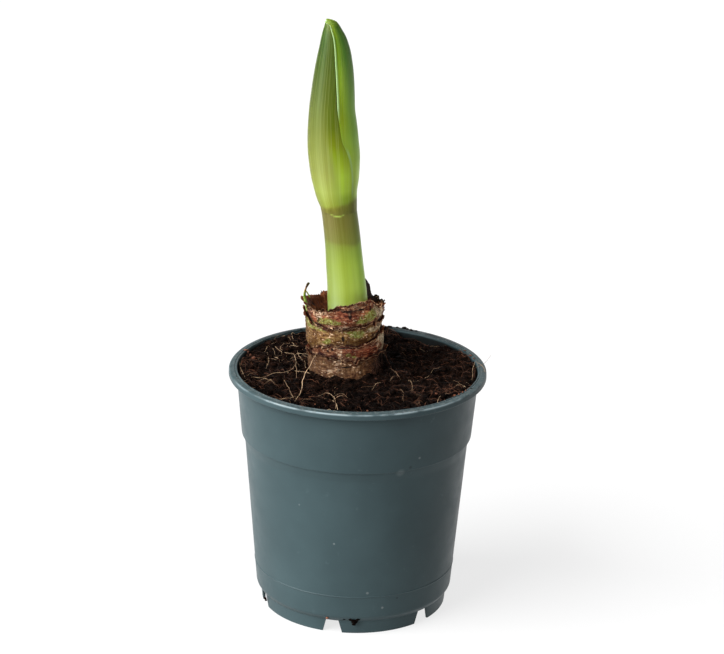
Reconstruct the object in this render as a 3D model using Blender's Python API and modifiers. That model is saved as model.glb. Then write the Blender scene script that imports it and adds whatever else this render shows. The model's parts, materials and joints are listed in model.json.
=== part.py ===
"""A potted amaryllis: a plastic nursery pot filled with peat, with a bulb in it.

The bulb's neck stands out of the soil in its torn brown tunics. One green stalk rises from it and
carries a closed bud of two bracts, with the young flower buds inside. The origin is the centre of the
pot's base, +Z is up and -Y is the front. Lengths are in metres and angles in degrees, and an angle
round an upright axis is counted from the front towards +X.
"""
import math
import random

import bmesh
import bpy
from mathutils import Matrix, Vector

COLLECTION_NAME = "potted_amaryllis"
GAP = 0.0003                      # between two pieces that touch

# Pot: a tapered wall with one step, on a recessed skirt with six notches
POT_SIDES = 56
POT_WALL = 0.0011
POT_BASE_RADIUS = 0.0501          # where the wall meets the chamfer over the skirt
POT_BASE_Z = 0.0096
POT_DRAFT = 0.0823                # the wall's radius grows by this much of its height
STEP_LOW_Z = 0.0862
STEP_HIGH_Z = 0.0914
STEP_OUT = 0.00145
RIM_RADIUS = 0.0650
RIM_TOP_Z = 0.1255
RIM_INNER_RADIUS = 0.0606
RIM_UNDER_Z = 0.1226
SKIRT_RADIUS = 0.0472
SKIRT_WALL = 0.0011
FLOOR_TOP_Z = 0.0088
FLOOR_THICKNESS = 0.0013
NOTCH_COUNT = 6
NOTCH_ANGLE = -12.4
NOTCH_HEIGHT = 0.0069
NOTCH_TOP_WIDTH = 0.0065
NOTCH_FOOT_WIDTH = 0.0100
CUTTER_REACH = 0.0010             # how far a cutter stands out of what it cuts
DRAIN_RADIUS = 0.0042
DRAIN_CIRCLE = 0.0360
DRAIN_SIDES = 14

# The plant's axis leans to the left; it meets the surface at this point
PLANT_FOOT = (0.0018, 0.0100, 0.0)
PLANT_LEAN = 3.43

# Bulb, outline from the top of the fleshy neck down to the basal plate: height, radius
BULB_SIDES = 40
BULB_OUTLINE = (
    (0.1400, 0.0000), (0.1400, 0.0128), (0.1385, 0.0136), (0.1200, 0.0138), (0.1165, 0.0144),
    (0.1135, 0.0180), (0.1110, 0.0218), (0.1060, 0.0270), (0.0980, 0.0318), (0.0860, 0.0354),
    (0.0720, 0.0365), (0.0580, 0.0340), (0.0470, 0.0270), (0.0420, 0.0180), (0.0405, 0.0140),
    (0.0370, 0.0130), (0.0360, 0.0118), (0.0360, 0.0000))

# Tunics, from the outside in, on the plant's axis
TUNIC_SIDES = 36
TUNIC_THICKNESS = 0.00075
TUNIC_PITCH = 0.0011              # from one tunic's outer face to the next
TUNIC_OUTER_RADIUS = 0.0194       # of the outermost one
TUNIC_SHOWN_RADIUS = 0.0192       # each swells to this above the edge of the one round it
TUNIC_SWELL_HEIGHT = 0.0035
TUNIC_LIP = 0.0006                # how far a torn edge curls out
TUNIC_LIP_HEIGHT = 0.0020
TUNIC_LEVEL_STEP = 0.0003         # least height between two bends of a tunic
TUNIC_RAGGED = 0.00045            # how far it waves up and down
# Name, mean height of the edge, and its lobes: angle, rise, half-width. Then lobes of the radius.
TUNICS = (
    ("tunic_5", 0.1324, ((-38, 0.0022, 24), (175, -0.0030, 60)), ()),
    ("tunic_4", 0.1399, ((78, 0.0038, 28), (-85, -0.0008, 35), (190, 0.0012, 50)), ()),
    ("tunic_3", 0.1491, ((-88, 0.0052, 34), (130, -0.0020, 40)), ()),
    ("tunic_2", 0.1576, ((18, 0.0046, 42), (40, 0.0018, 14), (-92, -0.0014, 22), (180, -0.0045, 55)),
     ((92, 0.0010, 14),)),
    ("tunic_1", 0.1560, ((147, 0.0078, 11), (-95, 0.0042, 22), (30, -0.0020, 60)), ((-92, 0.0020, 22),)),
)

# Flower stalk, from its foot inside the bulb to the bud: height, x, radius
SCAPE_SIDES_RESOLUTION = 6        # gives 16 sides
SCAPE_Y = 0.0090
SCAPE = (
    (0.1000, -0.0040, 0.0090), (0.1250, -0.0051, 0.0091), (0.1410, -0.0057, 0.0094),
    (0.1580, -0.0064, 0.0096), (0.1685, -0.0071, 0.0093), (0.1770, -0.0078, 0.0092),
    (0.1855, -0.0084, 0.0091), (0.1938, -0.0093, 0.0090), (0.2022, -0.0104, 0.0089),
    (0.2060, -0.0110, 0.0089))
SCAPE_HOLE_CLEARANCE = 0.0004

# Bud, from the collar to its tip: height, x, half-width
BUD = (
    (0.2063, -0.0110, 0.0090), (0.2145, -0.0124, 0.0106), (0.2227, -0.0132, 0.0119),
    (0.2330, -0.0138, 0.0127), (0.2400, -0.0144, 0.0127), (0.2474, -0.0147, 0.0123),
    (0.2636, -0.0151, 0.0110), (0.2797, -0.0147, 0.0093), (0.2918, -0.0146, 0.0067),
    (0.2985, -0.0158, 0.0045), (0.3024, -0.0171, 0.0013))
BUD_FLATNESS = 0.84               # half-depth over half-width, from a little above the collar
SPATHE_THICKNESS = 0.0009
SPATHE_POINTS = 15                # across each bract
SPATHE_SECTIONS = 17
# Where the front edge of the right bract runs: height, angle
FRONT_SEAM = ((0.2063, 50), (0.2190, 48), (0.2310, 38), (0.2400, 32), (0.2474, 23), (0.2560, 17),
              (0.2660, 15), (0.2797, 10), (0.2918, 6), (0.3000, 2), (0.3030, -10))
BACK_SEAM = 196
TUCK = 17                         # how far the left bract runs on under the right one
LEFT_TOP_Z = 0.2990
RIGHT_TOP_Z = 0.3022
TIP_WRAP = 70                     # how far the right bract's tip closes over the left one

# Young flower buds inside the bracts
FLOWER_BUD_LENGTH = 0.0560
FLOWER_BUD_RADIUS = 0.0038
FLOWER_BUD_FOOT_Z = 0.2110
FLOWER_BUD_OFFSETS = ((-0.0040, -0.0033), (0.0040, -0.0033), (-0.0040, 0.0033), (0.0040, 0.0033))
RECEPTACLE_RADIUS = 0.0062
RECEPTACLE_HEIGHT = 0.0085
RECEPTACLE_TAPER = 0.9

# Withered strip of leaf inside the left of the neck, on the plant's axis: distance from it, height
STRAND_RADIUS = 0.0007
STRAND = ((0.0116, 0.1404), (0.0127, 0.1515), (0.0130, 0.1532), (0.0151, 0.1557), (0.0163, 0.1570),
          (0.0190, 0.1604), (0.0193, 0.1628), (0.0185, 0.1655), (0.0174, 0.1677))
STRAND_FORK_RADIUS = 0.00056
STRAND_FORK = ((0.0192, 0.1636), (0.0178, 0.1624), (0.0168, 0.1608))

# Soil: its top lies this far below the rim, with dips and a mound by angle
SOIL_DEPTH = 0.0032
SOIL_LUMP = 0.0012                # how far its lumps rise and dip
SOIL_TOP_RINGS = 13
# Angle, extra depth at the wall, half-width
SOIL_DIPS = ((132, 0.0034, 30), (180, -0.0010, 25), (-130, -0.0006, 30), (-80, 0.0004, 30))
SOIL_NECK_RISE = 0.0012           # how much higher it stands at the right of the neck than at the left

SMOOTH_ANGLE = math.radians(35)


def clear_scene():
    for old in list(bpy.data.objects):
        bpy.data.objects.remove(old, do_unlink=True)


def new_collection(name):
    collection = bpy.data.collections.new(name)
    bpy.context.scene.collection.children.link(collection)
    return collection


def material(name, colour, roughness, metallic=0.0):
    made = bpy.data.materials.new(name)
    made.use_nodes = True
    shader = made.node_tree.nodes["Principled BSDF"]
    shader.inputs["Base Color"].default_value = (*colour, 1.0)
    shader.inputs["Roughness"].default_value = roughness
    shader.inputs["Metallic"].default_value = metallic
    made.diffuse_color = (*colour, 1.0)
    return made


def add_object(name, data, collection, look=None):
    made = bpy.data.objects.new(name, data)
    collection.objects.link(made)
    if look is not None:
        data.materials.append(look)
    return made


def take_new(name, collection):
    """Names the object that an operator just added and moves it to a collection."""
    made = bpy.context.object
    made.name = name
    for home in list(made.users_collection):
        home.objects.unlink(made)
    collection.objects.link(made)
    return made


def as_mesh(source, name, collection, look=None):
    """The evaluated shape of an object as a mesh object of its own; the source is removed."""
    graph = bpy.context.evaluated_depsgraph_get()
    graph.update()
    mesh = bpy.data.meshes.new_from_object(source.evaluated_get(graph))
    mesh.name = name
    shape = bmesh.new()
    shape.from_mesh(mesh)
    bmesh.ops.remove_doubles(shape, verts=shape.verts, dist=1e-6)
    bmesh.ops.recalc_face_normals(shape, faces=shape.faces)
    shape.to_mesh(mesh)
    shape.free()
    place = source.matrix_world.copy()
    bpy.data.objects.remove(source, do_unlink=True)
    mesh.materials.clear()
    made = add_object(name, mesh, collection, look)
    made.matrix_world = place
    return made


def lathe(name, outline, sides, collection, look=None):
    """A turned solid. The outline's (height, radius) points run from top to bottom on the outer side."""
    mesh = bpy.data.meshes.new(name)
    points = [(radius, 0.0, height) for height, radius in outline]
    mesh.from_pydata(points, [(i, i + 1) for i in range(len(points) - 1)], [])
    made = add_object(name, mesh, collection, look)
    screw = made.modifiers.new("turn", "SCREW")
    screw.axis = "Z"
    screw.steps = sides
    screw.render_steps = sides
    screw.use_merge_vertices = True
    screw.merge_threshold = 1e-6
    screw.use_smooth_shade = True
    return made


def loft(name, sections, collection, look, ring=False):
    """A closed skin through like sections; capped at both ends, or joined up into a ring."""
    count = len(sections[0])
    shape = bmesh.new()
    rows = [[shape.verts.new(point) for point in section] for section in sections]
    pairs = list(zip(rows, rows[1:]))
    if ring:
        pairs.append((rows[-1], rows[0]))
    else:
        shape.faces.new(rows[0])
        shape.faces.new(rows[-1])
    for low, high in pairs:
        for i in range(count):
            j = (i + 1) % count
            shape.faces.new((low[i], low[j], high[j], high[i]))
    bmesh.ops.recalc_face_normals(shape, faces=shape.faces)
    mesh = bpy.data.meshes.new(name)
    shape.to_mesh(mesh)
    shape.free()
    mesh.shade_smooth()
    mesh.set_sharp_from_angle(angle=SMOOTH_ANGLE)
    return add_object(name, mesh, collection, look)


def boolean(target, others, operation):
    """Cuts or joins a collection's objects with one EXACT Boolean."""
    cut = target.modifiers.new(operation.lower(), "BOOLEAN")
    cut.operation = operation
    cut.operand_type = "COLLECTION"
    cut.collection = others
    cut.solver = "EXACT"
    return cut


def as_cutter(made):
    made.hide_render = True
    made.display_type = "WIRE"
    return made


def between(rows, at):
    """The rest of a row at the value `at` of its first column, on a smooth curve through the rows."""
    at = min(max(at, rows[0][0]), rows[-1][0])
    k = max(i for i in range(len(rows) - 1) if rows[i][0] <= at)
    low, high = rows[k], rows[k + 1]
    before, after = rows[max(k - 1, 0)], rows[min(k + 2, len(rows) - 1)]
    span = high[0] - low[0]
    t = (at - low[0]) / span
    values = []
    for c in range(1, len(low)):
        slope_low = (high[c] - before[c]) / (high[0] - before[0]) * span
        slope_high = (after[c] - low[c]) / (after[0] - low[0]) * span
        values.append(low[c] * (2 * t ** 3 - 3 * t ** 2 + 1) + slope_low * (t ** 3 - 2 * t ** 2 + t)
                      + high[c] * (3 * t ** 2 - 2 * t ** 3) + slope_high * (t ** 3 - t ** 2))
    return values


def straight(rows, at):
    """The second column at the value `at` of the first, on straight lines through the rows."""
    k = max([i for i in range(len(rows) - 1) if rows[i][0] <= at], default=0)
    low, high = rows[k], rows[k + 1]
    return low[1] + (high[1] - low[1]) * (at - low[0]) / (high[0] - low[0])


def smoothstep(t):
    t = min(max(t, 0.0), 1.0)
    return t * t * (3 - 2 * t)


def lobes(angle, shapes):
    """The sum of smooth bumps round a circle, each (angle, height, half-width)."""
    total = 0.0
    for centre, height, width in shapes:
        off = (angle - centre + 180) % 360 - 180
        total += height * math.exp(-(off / width) ** 2)
    return total


def around(angle, radius):
    """The point at an angle from the front and a distance from the axis."""
    turn = math.radians(angle)
    return radius * math.sin(turn), -radius * math.cos(turn)


def pot_radius(z):
    """Outer radius of the pot's wall at a height."""
    step = STEP_OUT * min(max((z - STEP_LOW_Z) / (STEP_HIGH_Z - STEP_LOW_Z), 0.0), 1.0)
    return POT_BASE_RADIUS + POT_DRAFT * (z - POT_BASE_Z) + step


def pot_outline():
    inner = [(z, pot_radius(z) - POT_WALL) for z in (FLOOR_TOP_Z, STEP_LOW_Z, STEP_HIGH_Z)]
    rim_inside = [(RIM_TOP_Z - 0.0012, RIM_INNER_RADIUS - 0.0005),
                  (RIM_TOP_Z - 0.0003, RIM_INNER_RADIUS - 0.0002), (RIM_TOP_Z, RIM_INNER_RADIUS + 0.0003)]
    rim = [(RIM_TOP_Z - 0.0002, RIM_INNER_RADIUS + 0.0010), (RIM_TOP_Z - 0.0008, RIM_INNER_RADIUS + 0.0018),
           (RIM_TOP_Z - 0.0010, RIM_RADIUS - 0.0014), (RIM_TOP_Z - 0.0015, RIM_RADIUS - 0.0004),
           (RIM_TOP_Z - 0.0022, RIM_RADIUS), (RIM_TOP_Z - 0.0034, RIM_RADIUS),
           (RIM_TOP_Z - 0.0038, RIM_RADIUS - 0.0004), (RIM_TOP_Z - 0.0037, RIM_RADIUS - 0.0009),
           (RIM_TOP_Z - 0.0027, RIM_RADIUS - 0.0014), (RIM_TOP_Z - 0.0023, RIM_RADIUS - 0.0024),
           (RIM_UNDER_Z, pot_radius(RIM_UNDER_Z) + 0.0003)]
    wall = [(z, pot_radius(z)) for z in (RIM_UNDER_Z - 0.0010, STEP_HIGH_Z, STEP_LOW_Z, POT_BASE_Z)]
    chamfer = [(0.0085, 0.0498), (0.0077, 0.0490), (0.0072, 0.0481), (0.0070, 0.0476)]
    skirt = [(0.0, SKIRT_RADIUS), (0.0, SKIRT_RADIUS - SKIRT_WALL),
             (FLOOR_TOP_Z - FLOOR_THICKNESS, SKIRT_RADIUS - SKIRT_WALL + 0.0003)]
    centre_above = [(FLOOR_TOP_Z, 0.0)]
    centre_below = [(FLOOR_TOP_Z - FLOOR_THICKNESS, 0.0)]
    return centre_above + inner + rim_inside + rim + wall + chamfer + skirt + centre_below


def notch_cutter(angle, cutters):
    """A wedge that cuts one notch through the skirt, wider at the foot."""
    flare = (NOTCH_FOOT_WIDTH - NOTCH_TOP_WIDTH) / NOTCH_HEIGHT * CUTTER_REACH
    half_foot = (NOTCH_FOOT_WIDTH + flare) / 2
    half_top = NOTCH_TOP_WIDTH / 2
    outline = bpy.data.curves.new("notch", "CURVE")
    outline.dimensions = "2D"
    outline.fill_mode = "BOTH"
    outline.extrude = SKIRT_WALL + 3 * CUTTER_REACH
    spline = outline.splines.new("POLY")
    corners = ((-half_foot, -CUTTER_REACH), (half_foot, -CUTTER_REACH),
               (half_top, NOTCH_HEIGHT), (-half_top, NOTCH_HEIGHT))
    spline.points.add(len(corners) - 1)
    for point, corner in zip(spline.points, corners):
        point.co = (*corner, 0.0, 1.0)
    spline.use_cyclic_u = True
    flat = add_object("notch", outline, cutters)
    x, y = around(angle, SKIRT_RADIUS)
    turn = Matrix.Rotation(math.radians(angle), 4, "Z") @ Matrix.Rotation(math.radians(90), 4, "X")
    flat.matrix_world = Matrix.Translation((x, y, 0)) @ turn
    return as_cutter(as_mesh(flat, "notch_cutter", cutters))


def drain_cutter(x, y, cutters):
    bpy.ops.mesh.primitive_cylinder_add(vertices=DRAIN_SIDES, radius=DRAIN_RADIUS,
                                        depth=FLOOR_THICKNESS + 2 * CUTTER_REACH,
                                        location=(x, y, FLOOR_TOP_Z - FLOOR_THICKNESS / 2))
    return as_cutter(take_new("drain_cutter", cutters))


def make_pot(collection, cutters):
    pot = lathe("pot", pot_outline(), POT_SIDES, collection,
                material("pot_plastic", (0.075, 0.125, 0.140), 0.38))
    notches = bpy.data.collections.new("pot_cutters")
    cutters.children.link(notches)
    drain_cutter(0.0, 0.0, notches)
    for k in range(NOTCH_COUNT):
        angle = NOTCH_ANGLE + 360 / NOTCH_COUNT * k
        notch_cutter(angle, notches)
        drain_cutter(*around(angle + 180 / NOTCH_COUNT, DRAIN_CIRCLE), notches)
    boolean(pot, notches, "DIFFERENCE")
    return pot


def plant_frame():
    """From the plant's own upright axis to the world."""
    return Matrix.Translation(PLANT_FOOT) @ Matrix.Rotation(math.radians(-PLANT_LEAN), 4, "Y")


def plant_axis(collection):
    axis = bpy.data.objects.new("plant_axis", None)
    axis.matrix_world = plant_frame()
    collection.objects.link(axis)
    return axis


def make_bulb(collection, cutters, axis):
    flesh = material("bulb_flesh", (0.45, 0.36, 0.20), 0.55)
    bulb = lathe("bulb", BULB_OUTLINE, BULB_SIDES, collection, flesh)
    bulb.parent = axis
    holes = bpy.data.collections.new("bulb_cutters")
    cutters.children.link(holes)
    hole = as_mesh(stalk_curve("hole", SCAPE_HOLE_CLEARANCE, 0.0, holes), "scape_hole_cutter", holes)
    as_cutter(hole)
    boolean(bulb, holes, "DIFFERENCE")
    return bulb


def shoulder_z(radius):
    """Height of the bulb's upper side at a radius outside its neck."""
    rows = [(r, z) for z, r in BULB_OUTLINE[3:10]]
    return between(rows, radius)[0]


def tunic_edge(index, angle):
    """Height of a tunic's torn edge."""
    name, height, edge_lobes, radius_lobes = TUNICS[index]
    waves = random.Random(name)
    ragged = sum(math.sin(math.radians(n * angle) + waves.uniform(0, 6.28)) for n in (3, 5, 8, 13)) / 2
    return height + lobes(angle, edge_lobes) + TUNIC_RAGGED * ragged


def tunic_levels(index, angle):
    """A tunic's (height, outer radius) from its foot to its edge, without the lip.

    It is straight up to the last edge but one of those round it, then lies close inside its neighbour,
    and swells above that one's edge. Neighbours bend at the same heights, so they stay apart.
    """
    edge = tunic_edge(index, angle)
    inside = TUNIC_OUTER_RADIUS - TUNIC_PITCH * index
    foot = shoulder_z(inside - TUNIC_THICKNESS - GAP) + 2 * GAP
    if index == 0:
        spread = (edge - foot) / 6
        heights = [foot + spread * k for k in range(5)] + [edge - TUNIC_LIP_HEIGHT, edge]
        return [(z, inside) for z in heights]
    outer = tunic_levels(index - 1, angle)
    outer_edge, outer_radius = outer[-1]
    heights = [foot, outer[3][0], outer[4][0], outer_edge, outer_edge + TUNIC_SWELL_HEIGHT,
               edge - TUNIC_LIP_HEIGHT, edge]
    for k in (5, 4, 3, 2, 1):
        heights[k] = min(heights[k], heights[k + 1] - TUNIC_LEVEL_STEP)
    shown = TUNIC_SHOWN_RADIUS + lobes(angle, TUNICS[index][3])
    levels = [(heights[0], inside), (heights[1], inside)]
    for z in heights[2:]:
        if z <= outer_edge:
            radius = straight(outer, z) - TUNIC_PITCH
        else:
            snug = outer_radius - TUNIC_PITCH
            radius = snug + (shown - snug) * min((z - outer_edge) / TUNIC_SWELL_HEIGHT, 1.0)
        levels.append((z, radius))
    return levels


def lip(index, angle):
    """How far the edge curls out; an edge that the next tunic covers stays straight."""
    if index == 0:
        return TUNIC_LIP
    rise = tunic_edge(index, angle) - tunic_edge(index - 1, angle)
    return TUNIC_LIP * smoothstep(rise / TUNIC_SWELL_HEIGHT)


def make_tunic(index, collection, axis, look):
    """A sleeve round the neck with a torn upper edge, open at both ends."""
    angles = [360 / TUNIC_SIDES * k for k in range(TUNIC_SIDES)]
    columns = []
    for angle in angles:
        levels = tunic_levels(index, angle)
        z, radius = levels[-1]
        levels[-1] = (z, radius + lip(index, angle))
        columns.append(levels)
    loops = []
    for k in range(len(columns[0])):
        loops.append([(*around(angle, column[k][1]), column[k][0])
                      for angle, column in zip(angles, columns)])
    for k in reversed(range(len(columns[0]))):
        loops.append([(*around(angle, column[k][1] - TUNIC_THICKNESS), column[k][0])
                      for angle, column in zip(angles, columns)])
    tunic = loft(TUNICS[index][0], loops, collection, look, ring=True)
    tunic.parent = axis
    return tunic


def tube(name, points, radii, resolution, collection):
    """A round rod along points, with flat ends."""
    curve = bpy.data.curves.new(name, "CURVE")
    curve.dimensions = "3D"
    curve.bevel_depth = 1.0
    curve.bevel_resolution = resolution
    curve.use_fill_caps = True
    spline = curve.splines.new("POLY")
    spline.points.add(len(points) - 1)
    for point, place, radius in zip(spline.points, points, radii):
        point.co = (*place, 1.0)
        point.radius = radius
    return add_object(name, curve, collection)


def stalk_curve(name, extra, below, collection):
    points = [(x, SCAPE_Y, z) for z, x, radius in SCAPE]
    points[0] = (points[0][0], SCAPE_Y, points[0][2] - below)
    return tube(name, points, [radius + extra for z, x, radius in SCAPE], SCAPE_SIDES_RESOLUTION, collection)


def make_scape(collection):
    scape = as_mesh(stalk_curve("stalk", 0.0, -GAP, collection), "scape", collection,
                    material("scape_green", (0.42, 0.58, 0.08), 0.42))
    scape.data.shade_smooth()
    scape.data.set_sharp_from_angle(angle=SMOOTH_ANGLE)
    return scape


def bud_point(z, angle, inset):
    """A point of the bud's skin, set in by a distance; the section is square to the leaning axis."""
    x, half = between(BUD, z)
    reach = 0.0005
    middle = min(max(z, BUD[0][0] + reach), BUD[-1][0] - reach)
    lean = (between(BUD, middle + reach)[0] - between(BUD, middle - reach)[0]) / (2 * reach)
    flat = 1 - (1 - BUD_FLATNESS) * smoothstep((z - BUD[0][0]) / 0.02)
    wide = max(half - inset, 0.0002)
    deep = max(half * flat - inset, 0.0002)
    turn = math.radians(angle)
    across = Vector((1.0, 0.0, -lean)).normalized() * wide * math.sin(turn)
    return Vector((x, SCAPE_Y - deep * math.cos(turn), z)) + across


def front_seam(z):
    return between(FRONT_SEAM, z)[0]


def bract_heights(top):
    """Heights of the sections, closer together towards the tip."""
    foot = BUD[0][0]
    shares = [k / (SPATHE_SECTIONS - 1) for k in range(SPATHE_SECTIONS)]
    return [foot + (top - foot) * math.sin(math.pi / 2 * share) for share in shares]


def make_spathe_right(collection, look):
    """The outer bract: from the front seam round the right to the back seam."""
    sections = []
    for z in bract_heights(RIGHT_TOP_Z):
        wrap = TIP_WRAP * smoothstep((z - LEFT_TOP_Z - 0.0004) / (RIGHT_TOP_Z - LEFT_TOP_Z))
        low, high = front_seam(z) - wrap, BACK_SEAM + wrap
        angles = [low + (high - low) * k / (SPATHE_POINTS - 1) for k in range(SPATHE_POINTS)]
        outer = [bud_point(z, angle, 0.0) for angle in angles]
        inner = [bud_point(z, angle, SPATHE_THICKNESS) for angle in reversed(angles)]
        sections.append(outer + inner)
    return loft("spathe_right", sections, collection, look)


def left_inset(z, angle):
    """The left bract dips under the right one's thickness at both seams."""
    into_front = angle - (front_seam(z) - 2)
    into_back = (BACK_SEAM - 360 + 2) - angle
    dip = smoothstep(1 + max(into_front, into_back) / 12)
    return (SPATHE_THICKNESS + GAP) * dip


def make_spathe_left(collection, look):
    """The inner bract: from under the right one at the front, round the left, to under it at the back."""
    sections = []
    for z in bract_heights(LEFT_TOP_Z):
        low, high = BACK_SEAM - 360 - TUCK, front_seam(z) + TUCK
        angles = [low + (high - low) * k / (SPATHE_POINTS + 5) for k in range(SPATHE_POINTS + 6)]
        outer = [bud_point(z, angle, left_inset(z, angle)) for angle in angles]
        inner = [bud_point(z, angle, left_inset(z, angle) + SPATHE_THICKNESS) for angle in reversed(angles)]
        sections.append(outer + inner)
    return loft("spathe_left", sections, collection, look)


def make_flower_buds(collection):
    """Four closed buds on one receptacle, on the top of the stalk."""
    look = material("flower_bud_green", (0.55, 0.62, 0.30), 0.5)
    foot = BUD[0][0] + GAP
    half = FLOWER_BUD_LENGTH / 2
    middle_z = FLOWER_BUD_FOOT_Z + half
    foot_x = between(BUD, FLOWER_BUD_FOOT_Z)[0]
    top_x = between(BUD, FLOWER_BUD_FOOT_Z + FLOWER_BUD_LENGTH)[0]
    lean = math.atan2(top_x - foot_x, FLOWER_BUD_LENGTH)
    bpy.ops.mesh.primitive_cone_add(vertices=20, radius1=RECEPTACLE_RADIUS,
                                    radius2=RECEPTACLE_RADIUS * RECEPTACLE_TAPER, depth=RECEPTACLE_HEIGHT)
    receptacle = take_new("flower_buds", collection)
    receptacle.matrix_world = (Matrix.Translation((BUD[0][1], SCAPE_Y, foot)) @ Matrix.Rotation(lean, 4, "Y")
                               @ Matrix.Translation((0, 0, RECEPTACLE_HEIGHT / 2)))
    receptacle.data.materials.append(look)
    bunch = new_collection("bunch")
    for x, y in FLOWER_BUD_OFFSETS:
        bpy.ops.mesh.primitive_uv_sphere_add(segments=12, ring_count=10)
        bud = take_new("bud", bunch)
        bud.data.transform(Matrix.Diagonal((FLOWER_BUD_RADIUS, FLOWER_BUD_RADIUS, half, 1.0)))
        centre = Vector((between(BUD, middle_z)[0] + x, SCAPE_Y + y, middle_z))
        bud.matrix_world = Matrix.Translation(centre) @ Matrix.Rotation(lean, 4, "Y")
    return fuse(receptacle, bunch, collection, look)


def fuse(target, extras, collection, look):
    """One Boolean union of a collection's objects into the target, applied."""
    boolean(target, extras, "UNION")
    name = target.name
    target.name = name + "_base"
    made = as_mesh(target, name, collection, look)
    for extra in list(extras.objects):
        bpy.data.objects.remove(extra, do_unlink=True)
    bpy.data.collections.remove(extras)
    made.data.shade_smooth()
    made.data.set_sharp_from_angle(angle=SMOOTH_ANGLE)
    return made


def make_leaf_strand(collection, axis):
    """The withered strip and its short fork, fused. It stands in the plane to the left of the axis."""
    look = material("leaf_strand_green", (0.25, 0.32, 0.07), 0.6)
    path = [(-out, 0.0, z) for out, z in STRAND]
    rod = tube("main", path, [STRAND_RADIUS] * len(path), 2, collection)
    main = as_mesh(rod, "leaf_strand", collection, look)
    extras = new_collection("strand_fork")
    path = [(-out, 0.0, z) for out, z in STRAND_FORK]
    fork = tube("fork", path, [STRAND_FORK_RADIUS] * len(path), 1, extras)
    as_mesh(fork, "fork_mesh", extras)
    strand = fuse(main, extras, collection, look)
    strand.parent = axis
    return strand


def soil_top(x, y, lumps):
    """Height of the soil's surface, without its lumps where `lumps` is None."""
    angle = math.degrees(math.atan2(x, -y))
    wall = pot_radius(RIM_TOP_Z) - POT_WALL
    outward = min(math.hypot(x, y) / wall, 1.0)
    z = RIM_TOP_Z - SOIL_DEPTH - lobes(angle, SOIL_DIPS) * outward ** 3
    neck_x = (plant_frame() @ Vector((0, 0, z))).x
    near = math.exp(-(math.hypot(x - neck_x, y - PLANT_FOOT[1]) / 0.024) ** 2)
    z += SOIL_NECK_RISE * near * math.tanh((x - neck_x) / 0.010) * 2
    if lumps is not None:
        z += SOIL_LUMP * lumps.uniform(-1, 1)
    return z


def neck_hole_point(angle, z):
    """A point of the hole that the soil leaves for the tunics and the bulb's shoulder."""
    return plant_frame() @ Vector((*around(angle, TUNIC_OUTER_RADIUS + GAP), z))


def make_soil(collection):
    """One loft: up the pot's wall, in over the lumpy top, and down round the plant to the bulb's base."""
    lumps = random.Random(11)
    angles = [360 / POT_SIDES * k for k in range(POT_SIDES)]
    sections = []
    for z in (FLOOR_TOP_Z + GAP, STEP_LOW_Z, STEP_HIGH_Z):
        radius = pot_radius(z) - POT_WALL - GAP
        sections.append([(*around(angle, radius), z) for angle in angles])
    inner = []
    outer = []
    for angle in angles:
        hole = neck_hole_point(angle, RIM_TOP_Z - SOIL_DEPTH)
        inner.append(Vector((hole.x, hole.y, soil_top(hole.x, hole.y, None))))
        x, y = around(angle, pot_radius(RIM_TOP_Z - SOIL_DEPTH) - POT_WALL - 2 * GAP)
        outer.append(Vector((x, y, soil_top(x, y, None))))
    sections.append(outer)
    for k in range(1, SOIL_TOP_RINGS):
        share = k / SOIL_TOP_RINGS
        ring = []
        for far, near in zip(outer, inner):
            spot = far.lerp(near, share)
            ring.append((spot.x, spot.y, soil_top(spot.x, spot.y, lumps)))
        sections.append(ring)
    sections.append(inner)
    for z, radius in cavity_outline():
        sections.append([plant_frame() @ Vector((*around(angle, radius), z)) for angle in angles])
    return loft("soil", sections, collection, material("peat", (0.018, 0.010, 0.007), 0.95))


def cavity_outline():
    """The hollow's (height, radius) below the surface: the bulb's outline, set out by the gap."""
    neck = TUNIC_OUTER_RADIUS + GAP
    rows = [(shoulder_z(neck) + GAP, neck)]
    for z, radius in BULB_OUTLINE:
        if z < rows[0][0] and radius > 0:
            rows.append((z, radius + GAP * 1.3))
    base_z, base_radius = rows[-1]
    rows[-1] = (base_z - GAP, base_radius)
    return rows


def main():
    clear_scene()
    parts = new_collection(COLLECTION_NAME)
    cutters = new_collection("cutters")
    axis = plant_axis(parts)
    make_pot(parts, cutters)
    make_soil(parts)
    make_bulb(parts, cutters, axis)
    paper = material("tunic_paper", (0.16, 0.075, 0.035), 0.7)
    for index in range(len(TUNICS)):
        own = paper.copy()
        own.name = TUNICS[index][0] + "_paper"
        make_tunic(index, parts, axis, own)
    bpy.data.materials.remove(paper)
    make_scape(parts)
    make_leaf_strand(parts, axis)
    make_spathe_left(parts, material("spathe_left_green", (0.16, 0.22, 0.035), 0.45))
    make_spathe_right(parts, material("spathe_right_green", (0.13, 0.24, 0.05), 0.45))
    make_flower_buds(parts)
    bpy.context.view_layer.update()


main()
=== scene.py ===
"""The looks of the potted amaryllis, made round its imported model.

Lengths are in metres and angles in degrees. An angle round an upright axis is counted from the front
(-Y) towards +X. The object's own sizes repeat the ones that its solids were made from.
"""

import json
import math
import random

import bmesh
import bpy
from mathutils import Matrix, Vector, noise

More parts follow.
